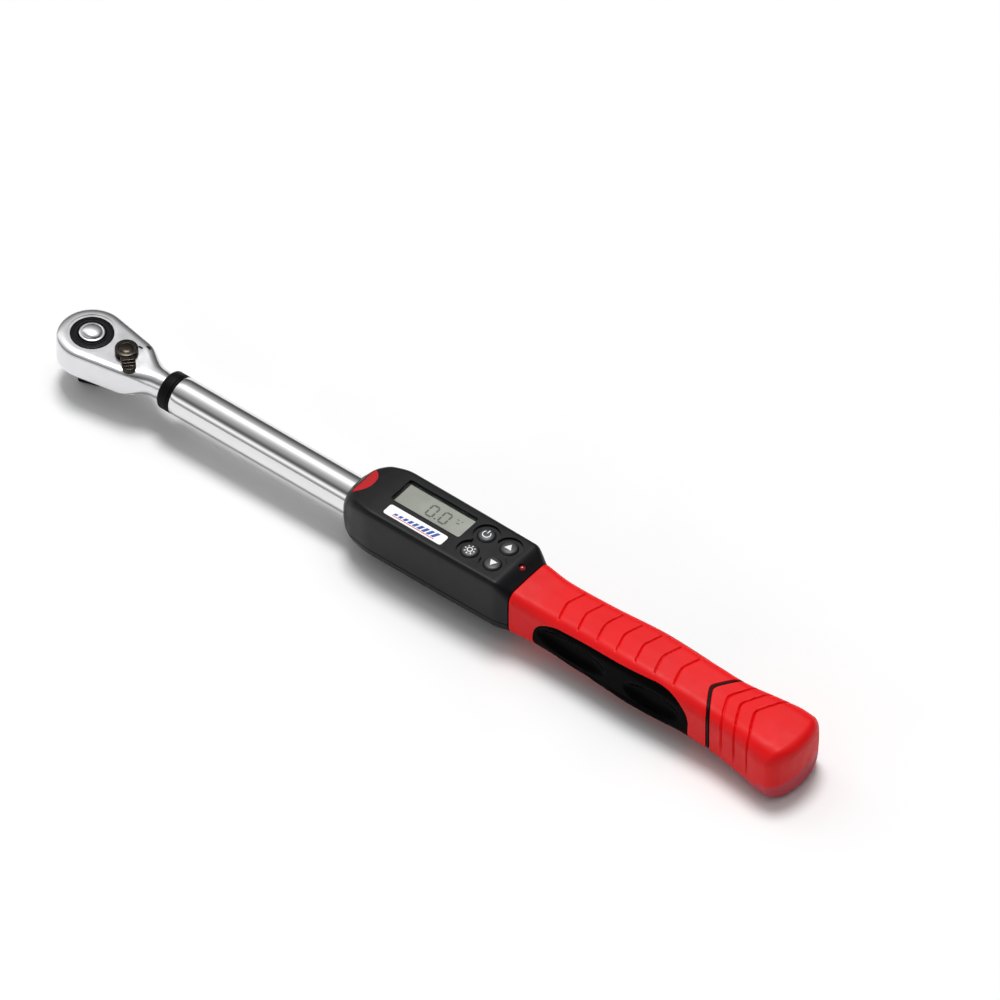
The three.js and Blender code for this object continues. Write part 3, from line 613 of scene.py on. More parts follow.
def insert_gloss():
    """Glossy black panel with a soft orange-peel sheen."""
    s = Shader("insert black")
    s.set(Specular_IOR_Level=0.06, IOR=1.2)
    s.colour(s.mottled(16.0, 3.0, rgb(3, 3, 3), rgb(7, 7, 8)))
    s.rough(s.span(s.noise(6.0, 4.0), 0.18, 0.3))
    s.bump((s.noise(0.9, 2.0), 0.006))
    return s.material


# The painted reflection of the pale floor, a pink band low on the butt, rises along the handle: its edge is
# where z - rise * x is this many millimetres.
PAINTED_REFLECTION_RISE = 0.127
PAINTED_REFLECTION_LEVEL = -47.8


def grip_rubber():
    """Red soft grip, with a painted pink reflection of the floor low on the butt."""
    s = Shader("grip red")
    s.set(Specular_IOR_Level=0.22)
    red = s.mottled(22.0, 4.0, rgb(221, 6, 12), rgb(229, 10, 16))
    split = s.node("ShaderNodeSeparateXYZ")
    s.link(s.place, split.inputs["Vector"])
    level = s.multiply_add(split.outputs["X"], -PAINTED_REFLECTION_RISE, split.outputs["Z"])
    ragged = s.multiply_add(s.noise(9.0, 4.0), 1.5 * MM, level)
    painted_reflection = s.span(ragged, 0.9, 0.0, PAINTED_REFLECTION_LEVEL * MM, (PAINTED_REFLECTION_LEVEL + 1.6) * MM)
    # Painted reflection: pale pink mixed into the red below that edge.
    s.colour(s.blend(painted_reflection, red, rgb(182, 64, 76)))
    s.rough(s.span(s.noise(9.0, 5.0, 0.65), 0.4, 0.56))
    s.bump((s.noise(0.6, 2.0), 0.02), (s.noise(5.0, 2.0), 0.03))
    return s.material


def keypad_gloss():
    # The light grey edge colour is a painted highlight, the glossy crescent along the keypad's rims.
    return plastic("keypad gloss", rgb(9, 9, 11), 0.2, 0.6, 0.004, 0.2, rgb(70, 70, 74), 0.45)


def nose_red():
    return plastic("nose red", rgb(176, 20, 27), 0.5, 0.6, 0.02, 0.1, specular=0.25)


def window_clear():
    s = Shader("clear window")
    s.set(Transmission_Weight=1.0, IOR=1.12, Metallic=0.0)
    s.colour(s.mottled(12.0, 3.0, rgb(246, 247, 246), rgb(238, 240, 238)))
    s.rough(s.span(s.noise(7.0, 4.0), 0.015, 0.05))
    s.bump((s.noise(6.0, 2.0), 0.002))
    return s.material


def lcd_face():
    s = Shader("liquid crystal grey")
    s.set(Specular_IOR_Level=0.35)
    s.colour(s.mottled(18.0, 2.0, rgb(176, 176, 168), rgb(188, 188, 180)))
    s.rough(s.span(s.noise(4.0), 0.4, 0.5))
    s.bump((s.noise(0.3, 2.0), 0.004))
    return s.material


def lcd_ink(name, colour):
    s = Shader(name)
    s.colour(s.mottled(3.0, 3.0, colour, scaled(colour, 0.9)))
    s.rough(s.span(s.noise(2.0), 0.4, 0.5))
    s.bump((s.noise(0.3, 2.0), 0.002))
    return s.material


def lens_red():
    s = Shader("red lens")
    s.set(Coat_Weight=0.6, Coat_Roughness=0.05, Subsurface_Weight=0.2, Subsurface_Scale=1.5 * MM)
    s.colour(s.mottled(1.2, 3.0, rgb(168, 14, 22), rgb(128, 6, 14)))
    s.rough(s.span(s.noise(1.5), 0.1, 0.2))
    s.bump((s.noise(0.5), 0.004))
    return s.material


def board_green():
    return plastic("board green", rgb(22, 88, 52), 0.35, 1.3, 0.02, 0.3)


def chip_black():
    return plastic("chip black", rgb(26, 26, 28), 0.55, 0.3, 0.01, 0.12)


def battery_jacket():
    return plastic("battery jacket", rgb(40, 62, 110), 0.3, 6.0, 0.02, 0.2)


def gauge_foil():
    return metal("gauge foil", rgb(205, 160, 96), 0.3, 0.2, (6.0, 1.0, 1.0), 0.2)


def cable_jacket():
    return plastic("cable grey", rgb(120, 122, 126), 0.5, 0.6, 0.01, 0.1)


FINISH = {
    "satin_chrome": chrome_satin(),
    "polished_chrome": chrome_polished(),
    "black_steel": black_oxide(),
    "gunmetal": bronze_grey(),
    "plain_steel": bare_steel(),
    "spring_steel": spring_wire(),
    "brass": brass(),
    "black_plastic": case_plastic(),
    "button_plastic": keypad_plastic(),
    "dark_rubber": collar_rubber(),
    "white_label": label_white(),
    "insert_black": insert_gloss(),
    "grip_red": grip_rubber(),
    "clear_window": window_clear(),
    "lcd_grey": lcd_face(),
    "red_lens": lens_red(),
    "board_green": board_green(),
    "chip_black": chip_black(),
    "battery_jacket": battery_jacket(),
    "gauge_foil": gauge_foil(),
    "cable_grey": cable_jacket(),
}
FRAME_AND_SHADE_BLACK = frame_and_shade_black()
WHITE_PRINT = glyph_white()


def new_piece(name, shape, slot, body, replaced=None, radius=0.25, material=None, sharp=35.0):
    """A rebuilt piece: its mesh, body, finish slot, and the CAD node that it stands for."""
    obj = make_object(name, *shape, material or FINISH[slot], body, sharp)
    if replaced:
        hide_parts(replaced)
    if radius:
        round_edges(obj, radius)
    return obj


# ---- ratchet head ----
EDGE_RUN = 5.0
EDGE_DROP = 2.5
OUTLINE_STEPS = 26


def head_half_outline():
    """Plan outline of the head's +Y side from the tip, round the ring and along the neck."""
    sx, sy = SHOULDER_X, SHOULDER_Y
    reach = math.hypot(sx, sy)
    tangent = math.atan2(sy, sx) + math.acos(HEAD_R / reach)
    points = arc((0.0, 0.0), HEAD_R, 180, math.degrees(tangent), OUTLINE_STEPS)
    for t in np.linspace(0.12, 1, 8):
        x, y = points[OUTLINE_STEPS]
        points.append((x + (sx - x) * t, y + (sy - y) * t))
    bend = ((sx, sy), (34.0, 12.6), (38.5, 8.2), (NECK_START, NECK_R + 0.4))
    for t in np.linspace(0.08, 1, 16):
        weights = ((1 - t) ** 3, 3 * t * (1 - t) ** 2, 3 * t * t * (1 - t), t**3)
        points.append(tuple(sum(w * p[k] for w, p in zip(weights, bend)) for k in (0, 1)))
    for x in (50.0, 52.0, 54.0, 58.0, 61.0):
        points.append((x, NECK_R + 0.1))
    return np.array(points)


def neck_blend(x):
    """0 over the ring, 1 where the neck is round."""
    t = np.clip((x - 30.0) / 15.0, 0, 1)
    return t * t * (3 - 2 * t)


def ratchet_head():
    half = head_half_outline()
    far_side = half[1:]
    near_side = half[1:][::-1] * np.array([1, -1])
    outline = np.vstack([half[:1], far_side, near_side])
    before = np.roll(outline, 1, axis=0)
    after = np.roll(outline, -1, axis=0)
    tangent = after - before
    tangent /= np.linalg.norm(tangent, axis=1, keepdims=True)
    inward = np.column_stack([-tangent[:, 1], tangent[:, 0]])
    middle = np.array([12.0, 0.0])
    if ((outline + inward - middle) ** 2).sum() > ((outline - middle) ** 2).sum():
        inward = -inward
    blend = neck_blend(outline[:, 0])
    inward[blend > 0.98] = np.where(outline[blend > 0.98, 1:] > 0, (0.0, -1.0), (0.0, 1.0))
    tall = HEAD_HALF + (NECK_R + 0.1 - HEAD_HALF) * blend
    run = EDGE_RUN + (NECK_R - EDGE_RUN) * blend
    drop = EDGE_DROP + (NECK_R - EDGE_DROP) * blend
    rings = []
    for part in (-1, 1):
        for angle in np.radians(np.linspace(0, 90, 14))[:: -1 if part < 0 else 1]:
            inset = run * (1 - math.cos(angle))
            height = part * (tall - drop + drop * math.sin(angle))
            rings.append(np.column_stack([outline + inward * inset[:, None], height]))
    points, faces = skin(rings, ends="open")
    count = len(outline)
    pairs = [(i, count - i) for i in range(1, len(half))]
    for base in (0, (len(rings) - 1) * count):
        faces.append((base, base + 1, base + count - 1))
        for (a, b), (c, d) in zip(pairs, pairs[1:]):
            faces.append((base + a, base + c, base + d, base + b))
    obj = new_piece("head_body", (points, faces), "satin_chrome", "wrench", "ratchet_head", radius=0)
    ring_bore = HEAD_R * 0.625
    combine(obj, cylinder(-HEAD_HALF - 1, HEAD_HALF + 1, ring_bore, 96))
    ring_step = 13.4
    combine(obj, cylinder(HEAD_HALF - 0.35, HEAD_HALF + 1, ring_step, 96))
    lever_seat = LEVER_R + 0.35
    combine(obj, cylinder(HEAD_HALF - 0.25, HEAD_HALF + 1, lever_seat, 64, LEVER_X))
    combine(obj, cover_recess())
    for room in mechanism_room():
        combine(obj, room)
    shade(obj, 30)
    edge_radius(obj, 0.25, 50)


def mechanism_room():
    """Cutters for the room inside the head: gear, pawl and its pin, lever shaft and its detent."""
    bottom, ceiling = -HEAD_HALF - 1, GEAR_TOP + GAP
    gear = cylinder(bottom, ceiling, GEAR_R + 0.6, 96)
    pawl = slab(rounded_rectangle(8, 21.5, -10.4, 10.4, 2), bottom, ceiling)
    lever = cylinder(bottom, ceiling, 6.0, 48, LEVER_X)
    shaft = cylinder(0, HEAD_HALF + 1, LEVER_SHAFT_R + GAP, 48, LEVER_X)
    detent = cylinder(5, HEAD_HALF + 1, 1.3, 24, LEVER_X + DETENT_OUT)
    pin = cylinder(0, GEAR_TOP + 2, 1.4, 24, PAWL_X)
    return gear, pawl, lever, shaft, detent, pin


def cover_outline(grow):
    """The underside plate: a disc under the gear with a tongue towards the neck."""
    r = 16.9 + grow
    half = 9.6 + grow
    corner = 4
    corner_x = 36 + grow - corner
    meet = math.degrees(math.asin(half / r))
    outline = arc((0, 0), r, meet, 360 - meet, 60)
    outline += arc((corner_x, corner - half), corner, -90, 0, 8)
    outline += arc((corner_x, half - corner), corner, 0, 90, 8)
    return outline


def cover_recess():
    return slab(cover_outline(0.25), -HEAD_HALF - 1, -HEAD_HALF + 1.75)


def drive_turned(points):
    """Points turned with the drive about the upright axis."""
    c, s = math.cos(DRIVE_ANGLE), math.sin(DRIVE_ANGLE)
    points = np.asarray(points, float).reshape(-1, 3)
    x = points[:, 0] * c - points[:, 1] * s
    y = points[:, 0] * s + points[:, 1] * c
    return np.column_stack([x, y, points[:, 2]])


def drive_gear():
    """The square with its eased corners, the toothed ring and the black face round the button.

    All three are drilled for the release pin.
    """
    well, face, top = 7.6, 11.6, RING_TOP
    lower_journal, hub = 9.6, 10.9
    profile = [(-HEAD_HALF, 0.0), (-HEAD_HALF, lower_journal), (GEAR_BOTTOM, lower_journal)]
    profile += [(GEAR_BOTTOM, hub), (GEAR_TOP, hub), (GEAR_TOP, face)]
    profile += [(top - 0.5, face), (top - 0.12, face - 0.15), (top, face - 0.6)]
    profile += [(top, 9.9), (top - 0.35, 9.6), (top - 0.35, 8.9), (top, 8.6)]
    profile += [(top, well + 0.3), (top - 0.3, well), (WELL_FLOOR, well), (WELL_FLOOR, 0.0)]
    profile = [(along, max(radius, 0.02)) for along, radius in profile]
    points, faces = turned(profile, 96)
    obj = new_piece("drive_ring", (points, faces), "black_steel", "drive", "drive_gear", radius=0)
    half = DRIVE_SQUARE / 2
    square = rounded_rectangle(-half, half, -half, half, 1.2, 5)
    levels = ((-AXIS, 0.9), (-AXIS + 0.35, 0.35), (-AXIS + 1.0, 0.0), (-8.5, 0.0))
    rings = []
    for z, inset in levels:
        shrink = (half - inset) / half
        rings.append([(x * shrink, y * shrink, z) for x, y in square])
    points, faces = skin(rings)
    post = new_piece("drive_square", (drive_turned(points), faces), "black_steel", "drive", radius=0)
    bore = turned([(-2.5, 2.15), (8.0, 2.15)], 32, "x", (0, 0, BALL_HEIGHT))
    combine(post, (drive_turned(bore[0]), bore[1]))
    teeth = []
    tip = GEAR_R - 0.05
    for i in range(GEAR_TEETH):
        for share, radius in ((0.0, GEAR_ROOT), (0.3, GEAR_ROOT), (0.48, tip), (0.82, tip)):
            angle = (i + share) * 2 * math.pi / GEAR_TEETH
            teeth.append((radius * math.cos(angle), radius * math.sin(angle)))
    shape = slab(teeth, GEAR_BOTTOM + 0.2, WELL_FLOOR - 0.1)
    gear = new_piece("gear_teeth", shape, "black_steel", "drive", radius=0)
    for drilled in (obj, post, gear):
        combine(drilled, cylinder(BALL_HEIGHT - 2.6, WELL_FLOOR + 1, PIN_BORE_R, 32))
    round_edges(gear, 0.15)


def release_button():
    """Chromed thumb button with a shallow dome and a rolled rim."""
    rim = 7.0
    profile = [(6.4, 0.02), (6.4, rim - 0.2), (9.1, rim - 0.2), (9.5, rim - 0.05), (9.75, rim - 0.4)]
    profile += [(9.8, rim - 0.9), (9.7, rim - 1.3)]
    for t in np.linspace(0.08, 1, 12) * math.pi / 2:
        profile.append((9.75 + 2.25 * math.sin(t) ** 0.9, (rim - 1.3) * math.cos(t)))
    profile[-1] = (12.0, 0.02)
    new_piece("thumb_button", turned(profile, 72), "satin_chrome", "release", "release_button", radius=0)


def release_spring():
    """Conical spring under the button."""
    turns, wire_r, steps, sides = 3, 0.19, 120, 8
    foot, top = WELL_FLOOR + 0.2, WELL_FLOOR + 2.8
    foot_r, top_r = 5.2, 2.9
    rings = []
    for t in np.linspace(0, 1, steps):
        angle = t * turns * 2 * math.pi
        coil_r = foot_r + t * (top_r - foot_r)
        height = foot + wire_r + t * (top - foot - 2 * wire_r)
        ring = []
        for b in np.linspace(0, 2 * math.pi, sides, endpoint=False):
            r = coil_r + wire_r * math.cos(b)
            ring.append((r * math.cos(angle), r * math.sin(angle), height + wire_r * math.sin(b)))
        rings.append(ring)
    obj = new_piece("button_spring", skin(rings), "spring_steel", "drive", "release_spring", radius=0)
    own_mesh(obj)


def reversing_lever():
    """Round selector with a ridged finger tab, set at 45 degrees to the handle."""
    c, s = math.cos(LEVER_ANGLE), math.sin(LEVER_ANGLE)

    def placed(points):
        points = np.asarray(points, float).reshape(-1, 3)
        x = LEVER_X + points[:, 0] * c - points[:, 1] * s
        return np.column_stack([x, points[:, 0] * s + points[:, 1] * c, points[:, 2]])

    top = 12.9
    profile = [(9.3, 0.02), (9.3, LEVER_R), (top - 0.7, LEVER_R), (top - 0.2, LEVER_R - 0.25)]
    profile += [(top, LEVER_R - 0.8), (top, 4.6), (top - 0.3, 4.3), (top - 0.45, 3.9)]
    profile += [(top - 0.15, 3.3), (top, 2.0), (top + 0.05, 0.02)]
    disc, faces = turned(profile, 72)
    new_piece("lever_disc", (placed(disc), faces), "gunmetal", "lever", "reversing_lever", radius=0)
    outline = [(3.0, -4.0), (12.0, -3.8)] + arc((12.2, 0.0), 3.8, -80, 80, 12) + [(12.0, 3.8), (3.0, 4.0)]
    points, faces = slab(outline, 9.6, 12.0)
    new_piece("lever_tab", (placed(points), faces), "gunmetal", "lever", radius=0.6)
    for x in (8.6, 10.9, 13.2):
        half = 3.3 if x < 13 else 2.8
        ridge = rounded_rectangle(x - 0.6, x + 0.6, -half, half, 0.58, 5)
        points, faces = slab(ridge, 11.4, 12.75)
        new_piece("lever_ridge", (placed(points), faces), "gunmetal", "lever", radius=0.25)
    shaft, faces = cylinder(-5.8, 9.5, LEVER_SHAFT_R, 32)
    new_piece("lever_shaft", (placed(shaft), faces), "gunmetal", "lever", radius=0)


def direction_marks():
    """Two short engraved strokes beside the selector, as low black inlays."""
    for x, y in ((26.9, 7.5), (30.2, 10.2)):
        dash = rounded_rectangle(x - 1.4, x + 1.4, y - 0.55, y + 0.55, 0.4, 4)
        shape = slab(dash, HEAD_HALF - 0.6, HEAD_HALF + 0.1)
        new_piece("direction_mark", shape, "black_steel", "wrench", radius=0)


# ---- collar and tube ----
def neck_collar():
    x0, x1 = COLLAR_LOW[0], COLLAR_HIGH[0]
    r = (COLLAR_HIGH[1] - COLLAR_LOW[1]) / 2
    edge = 1.1
    profile = [(x0, 7.9), (x0, r - edge - 0.9), (x0 + 0.25, r - edge * 0.55 - 0.5), (x0 + edge, r - 0.25)]
    profile += [(x0 + edge + 0.7, r), (x1 - 1.9, r), (x1 - 1.5, r - 0.35), (x1 - 1.1, r - 0.35)]
    profile += [(x1 - 0.8, r), (x1 - 0.3, r), (x1, r - 0.3), (x1, 7.9)]
    shape = turned(profile, 96, "x", ends="looped")
    new_piece("collar", shape, "dark_rubber", "wrench", "neck_collar", radius=0)


def main_tube():
    x0, x1, r, bore = TUBE_LOW[0], TUBE_HIGH[0], TUBE_R, 9.2
    profile = [(x0, bore + 0.3), (x0, r - 0.5), (x0 + 0.15, r - 0.15), (x0 + 0.5, r)]
    profile += [(x, r) for x in np.linspace(x0 + 4, x1 - 4, 12)]
    profile += [(x1 - 0.5, r), (x1, r - 0.5), (x1, bore), (x0 + 0.3, bore)]
    shape = turned(profile, 128, "x", ends="looped")
    new_piece("tube", shape, "polished_chrome", "wrench", "main_tube", radius=0)


# ---- electronics case ----
BUTTONS = {name: centre_of(name) for name in ("button_power", "button_unit", "button_up", "button_down")}
BUTTON_R = 4.9
DOME = 0.75
KEYPAD_R = 7.5
CASE_X0, CASE_X1 = CASE_LOW[0], CASE_HIGH[0]


def case_solid(inset=0.0, x0=None, x1=None, step=1.2):
    """The case's outside as one closed loft, or the same drawn in by an inset."""
    x0 = CASE_X0 if x0 is None else x0
    x1 = CASE_X1 if x1 is None else x1
    body = Surface(CASE_STATIONS, x0, x1, 0.5, 0.0 if inset else 0.25, lambda x: inset, 49)
    edge = 0.6
    xs = np.concatenate([[x0], np.arange(x0 + edge, x1 - edge, step), [x1]])
    rings = [body.at(np.full(body.table.shape[1], x)) for x in xs]
    return skin(rings)


def display_outline(grow):
    low, high = WINDOW_LOW, WINDOW_HIGH
    grow += GAP
    return rounded_rectangle(low[0] - grow, high[0] + grow, low[1] - grow, high[1] + grow, 1.1 + grow, 6)


def label_outline(grow):
    low, high = LABEL_LOW, LABEL_HIGH
    return rounded_rectangle(low[0] - grow, high[0] + grow, low[1] - grow, high[1] + grow, 1.0 + grow, 6)


def keypad_cuts():
    """Shapes that together sink the scalloped keypad floor."""
    xs = [centre[0] for centre in BUTTONS.values()]
    ys = [centre[1] for centre in BUTTONS.values()]
    floor = DECK - 1.3
    shapes = [slab(arc((x, y), KEYPAD_R, 0, 354, 59), floor, DECK + 3) for x, y, _ in BUTTONS.values()]
    shapes.append(box_solid(min(xs) - 4, max(xs) + 4, min(ys), max(ys), floor, DECK + 3))
    return shapes


def case_half(name, node, cut_from, cut_to):
    """One half of the case: the loft cut off at the seam, hollowed, and bored for the tube."""
    obj = new_piece(name, case_solid(), "black_plastic", "wrench", node, radius=0)
    combine(obj, box_solid(CASE_X0 - 5, CASE_X1 + 5, -30, 30, cut_from, cut_to))
    combine(obj, case_solid(2.0, CASE_X0 + 2.5, CASE_X1 - 2.5, 3.0))
    tunnel_r = TUBE_R + 0.15
    combine(obj, turned([(CASE_X0 - 5, tunnel_r), (CASE_X1 + 5, tunnel_r)], 96, "x"))
    return obj


def upper_housing():
    obj = case_half("case_top", "upper_housing", -40, SEAM + 0.15)
    above = DECK + 3
    combine(obj, slab(display_outline(0.0), 10, above))
    combine(obj, slab(label_outline(0.15), DECK - 0.45, above))
    for shape in keypad_cuts():
        combine(obj, shape)
    for x, y, _ in BUTTONS.values():
        combine(obj, slab(arc((x, y), BUTTON_R + 0.35, 0, 352, 44), 10, above))
    led_x, led_y, _ = centre_of("led_lens")
    combine(obj, cylinder(10, above, 1.95, 32, led_x, led_y))
    combine(obj, nose_cut())
    shade(obj, 30)
    case_edges(obj)


def nose_cut():
    return slab(arc((CASE_X0 - 0.3, 0.0), 11.25, -72.5, 72.5, 24), 12.3, 30)


def case_edges(obj):
    edge_radius(obj, 0.3, 55)
    weighted = obj.modifiers.new("weighted normals", "WEIGHTED_NORMAL")
    weighted.keep_sharp = True


def lower_housing():
    obj = case_half("case_bottom", "lower_housing", SEAM - 0.35, 40)
    for k in (1, 2, 3, 4):
        x, y, _ = centre_of(f"housing_screw_{k}")
        combine(obj, cylinder(-30, -13.4, 3.0, 40, x, y))
        combine(obj, cylinder(-30, -8, 1.5, 24, x, y))
    shade(obj, 30)
    case_edges(obj)


def printed(name, outline, z, depth, slot, material):
    """A thin raised mark on the wrench, from its plan outline."""
    new_piece(name, slab(outline, z, z + depth), slot, "wrench", radius=0, material=material)


def seven_segment_zero(x, y, width, height, bar, z, material):
    """A figure nought from six bars."""
    half_w, half_h = width / 2, height / 2
    bars = [(0, half_h, True), (0, -half_h, True)]
    bars += [(sx * half_w, sy * half_h / 2, False) for sx in (-1, 1) for sy in (-1, 1)]
    for bx, by, level in bars:
        long = (half_w if level else half_h / 2) - bar * 0.12
        t = bar / 2
        pointed = [(-long, 0), (-long + t, t), (long - t, t), (long, 0), (long - t, -t), (-long + t, -t)]
        turned_bar = pointed if level else [(-b, a) for a, b in pointed]
        outline = [(x + bx + a, y + by + b) for a, b in turned_bar]
        printed("segment", outline, z, 0.04, "lcd_grey", material)


def display():
    """The reading nought point nought, and the module's black frame, wider on the left and far sides as
    painted shade from the recess walls.
    """
    ink = lcd_ink("segment grey", rgb(112, 110, 102))
    z = LCD_TOP + 0.02
    middle_x, middle_y = 231.0, 4.2
    for side in (-1, 1):
        seven_segment_zero(middle_x + side * 4.2, middle_y, 4.3, 8.0, 1.1, z, ink)
    dot = rounded_rectangle(middle_x - 0.55, middle_x + 0.55, middle_y - 4.2, middle_y - 3.1, 0.3, 3)
    printed("decimal_point", dot, z, 0.04, "lcd_grey", ink)
    for x, y, wide in ((241.5, 7.6, 1.4), (244.2, 7.6, 0.8), (242.8, 5.4, 1.8)):
        mark = rounded_rectangle(x - wide / 2, x + wide / 2, y - 0.35, y + 0.35, 0.15, 2)
        printed("unit_mark", mark, z, 0.04, "lcd_grey", ink)
    low, high = WINDOW_LOW - GAP, WINDOW_HIGH + GAP
    # Thin black frame strips on the right and near sides; the wide bands on the left and far sides are
    # painted shade from the recess walls.
    band = 1.3
    strips = (
        (low[0], low[0] + band, low[1], high[1]),
        (high[0] - 0.5, high[0], low[1], high[1]),
        (low[0], high[0], high[1] - band, high[1]),
        (low[0], high[0], low[1], low[1] + 0.5),
    )
    for x0, x1, y0, y1 in strips:
        shape = box_solid(x0, x1, y0, y1, z, z + 0.3)
        new_piece("display_frame_shade", shape, "black_plastic", "wrench", radius=0.1, material=FRAME_AND_SHADE_BLACK)


def label():
    """A generic rising bar graph on the label, over a thin red line."""
    z = LABEL_HIGH[2] - AXIS
    middle = (LABEL_LOW + LABEL_HIGH) / 2
    blue = label_ink("label blue", rgb(24, 74, 160))
    red = label_ink("label red", rgb(206, 36, 46))
    count, pitch, wide, slant, foot = 9, 3.1, 2.1, 0.5, middle[1] - 1.7
    left = middle[0] - pitch * count / 2
    for i in range(count):
        x = left + pitch * i
        tall = 1.5 + 2.6 * i / (count - 1)
        lean = slant * tall
        bar = [(x, foot), (x + wide, foot), (x + wide + lean, foot + tall), (x + lean, foot + tall)]
        printed("label_bar", bar, z - 0.02, 0.05, "white_label", blue)
    line = rounded_rectangle(left, left + pitch * count, foot - 0.95, foot - 0.45, 0.15, 2)
    printed("label_line", line, z - 0.02, 0.05, "white_label", red)


def button_shape(x, y, top):
    r = BUTTON_R
    profile = [(14.9, 0.02), (14.9, r), (top - 1.5, r), (top - 1.1, r - 0.12), (top - DOME, r - 0.5)]
    for t in np.linspace(0.1, 1, 10) * math.pi / 2:
        profile.append((top - DOME + DOME * math.sin(t), (r - 0.5) * max(0.0, math.cos(t)) ** 0.85))
    profile[-1] = (top, 0.02)
    return turned(profile, 64, centre=(x, y, 0))


def dome_height(distance, top):
    share = min(1.0, distance / (BUTTON_R - 0.5))
    return top - DOME * (1 - math.sqrt(max(0.0, 1 - share**2)))


def glyph(name, outline, x, y, top, body, lift=0.07):
    """A printed mark laid on a button's dome, in plan about the button's centre."""
    outline = np.asarray(outline, float)
    rings = []
    for extra in (-0.25, lift):
        rings.append([(x + a, y + b, dome_height(math.hypot(a, b), top) + extra) for a, b in outline])
    new_piece(name, skin(rings), "button_plastic", body, radius=0, material=WHITE_PRINT)


def stroke(x0, y0, x1, y1, width, steps=4):
    """A straight bar as an outline with enough points to follow a dome."""
    along = np.array([x1 - x0, y1 - y0], float)
    along /= np.hypot(*along)
    side = np.array([-along[1], along[0]]) * width / 2
    line = np.linspace((x0, y0), (x1, y1), steps + 1)
    return [tuple(p + side) for p in line] + [tuple(p - side) for p in line[::-1]]


def ring_strokes(radius, width, start, end, count):
    """A round band cut into short bars."""
    marks = []
    angles = np.radians(np.linspace(start, end, count + 1))
    for a, b in zip(angles, angles[1:]):
        outer, inner = radius + width / 2, radius - width / 2
        corners = ((outer, a), (outer, b), (inner, b), (inner, a))
        marks.append([(r * math.cos(angle), r * math.sin(angle)) for r, angle in corners])
    return marks


def buttons():
    glyphs = {
        "button_power": ring_strokes(1.9, 0.5, -230, 50, 16) + [stroke(0, 0.5, 0, 2.7, 0.5)],
        "button_unit": ring_strokes(1.2, 0.45, 0, 360, 16)
        + [stroke(1.9 * c, 1.9 * s, 2.7 * c, 2.7 * s, 0.5) for c, s in eight_ways()],
        "button_up": [[(-1.9, -1.3), (0, -1.3), (1.9, -1.3), (0.95, 0.3), (0, 1.9), (-0.95, 0.3)]],
        "button_down": [[(-1.9, 1.3), (-0.95, -0.3), (0, -1.9), (0.95, -0.3), (1.9, 1.3), (0, 1.3)]],
    }
    top = node_box("button_up")[1][2] - AXIS
    for node, (x, y, _) in BUTTONS.items():
        body = "key_" + node.split("_")[1]
        new_piece(node + "_cap", button_shape(x, y, top), "button_plastic", body, node, radius=0)
        for outline in glyphs[node]:
            outline = np.array(outline, float) * 1.18
            glyph(node + "_mark", outline, x, y, top, body)


def eight_ways():
    return [(math.cos(a), math.sin(a)) for a in np.radians(range(0, 360, 45))]


def led():
    x, y, _ = centre_of("led_lens")
    low, high = node_box("led_lens")
    top = high[2] - AXIS
    r = 1.75
    profile = [(low[2] - AXIS, 0.02), (low[2] - AXIS, r)]
    for t in np.linspace(0, 1, 9) * math.pi / 2:
        profile.append((top - 1.3 + 1.3 * math.sin(t), r * math.cos(t)))
    profile[-1] = (top, 0.02)
    new_piece("led_dome", turned(profile, 40, centre=(x, y, 0)), "red_lens", "wrench", "led_lens", radius=0)


# ---- handle ----
CHEVRON_X = 417.0
CHEVRON_RUN = 10.0
CHEVRON_HALF = 17.0
APEX_ROUND = 2.2
GROOVE_FIRST = 321.2
GROOVE_PITCH = 12.8
GROOVE_COUNT = 7
GROOVE_SWEEP = 3.0
GROOVE_HALF = 11.0
CAP_SWEEP = 5.0
CAP_GROOVES = (428.8, 437.6, 447.2)
INSERT_IN = 12.8
BORE_R = 11.3
RIB_LEVELS = (-11.5, -13.6, -15.7)
RIB_WIDTH = 0.45
RIB_HEIGHT = 0.55
# Thumb hollows: middle x and z, half-length, half-height, depth.
HOLLOWS = ((336.5, -1.5, 23.5, 7.5, 3.0), (391.0, -2.5, 19.0, 7.2, 3.0))


def end_inset(x):
    """How far the butt's rounded end draws in."""
    t = np.clip((x - (HANDLE_END - END_ROUND)) / END_ROUND, 0, 1)
    return END_ROUND * (1 - math.sqrt(max(0.0, 1 - float(t) ** 2)))


def swept_back(y, run, half):
    """How far a V with a rounded tip has run back at y: nothing at its tip, run at half."""
    tip = lambda side: np.sqrt(side**2 + APEX_ROUND**2) - APEX_ROUND
    return run * tip(y) / tip(half)


def chevron(shift):
    def line(y):
        reach = np.minimum(np.abs(y), CHEVRON_HALF * 1.05)
        return CHEVRON_X + shift + swept_back(reach, CHEVRON_RUN, CHEVRON_HALF)

    return line


def to_circle(ring, radius, share, front):
    """The ring drawn towards a circle round the tube's axis, with its x from front(y)."""
    angle = np.arctan2(ring[:, 2], ring[:, 1])
    circle = np.column_stack([radius * np.cos(angle), radius * np.sin(angle)])
    yz = ring[:, 1:] * (1 - share) + circle * share
    return np.column_stack([front(yz[:, 0]), yz])


def handle_surface(inset=0.0):
    start = HANDLE_STATIONS[0][0]
    return Surface(HANDLE_STATIONS, start, HANDLE_END, 0.5, 0.5, lambda x: end_inset(x) + inset)


def top_share(rings):
    """1 on the crown of the handle, falling to 0 down its shoulders."""
    high_up = np.clip((rings[..., 2] - 4.0) / 4.0, 0, 1)
    return high_up * np.clip((GROOVE_HALF + 1.5 - np.abs(rings[..., 1])) / 1.5, 0, 1)


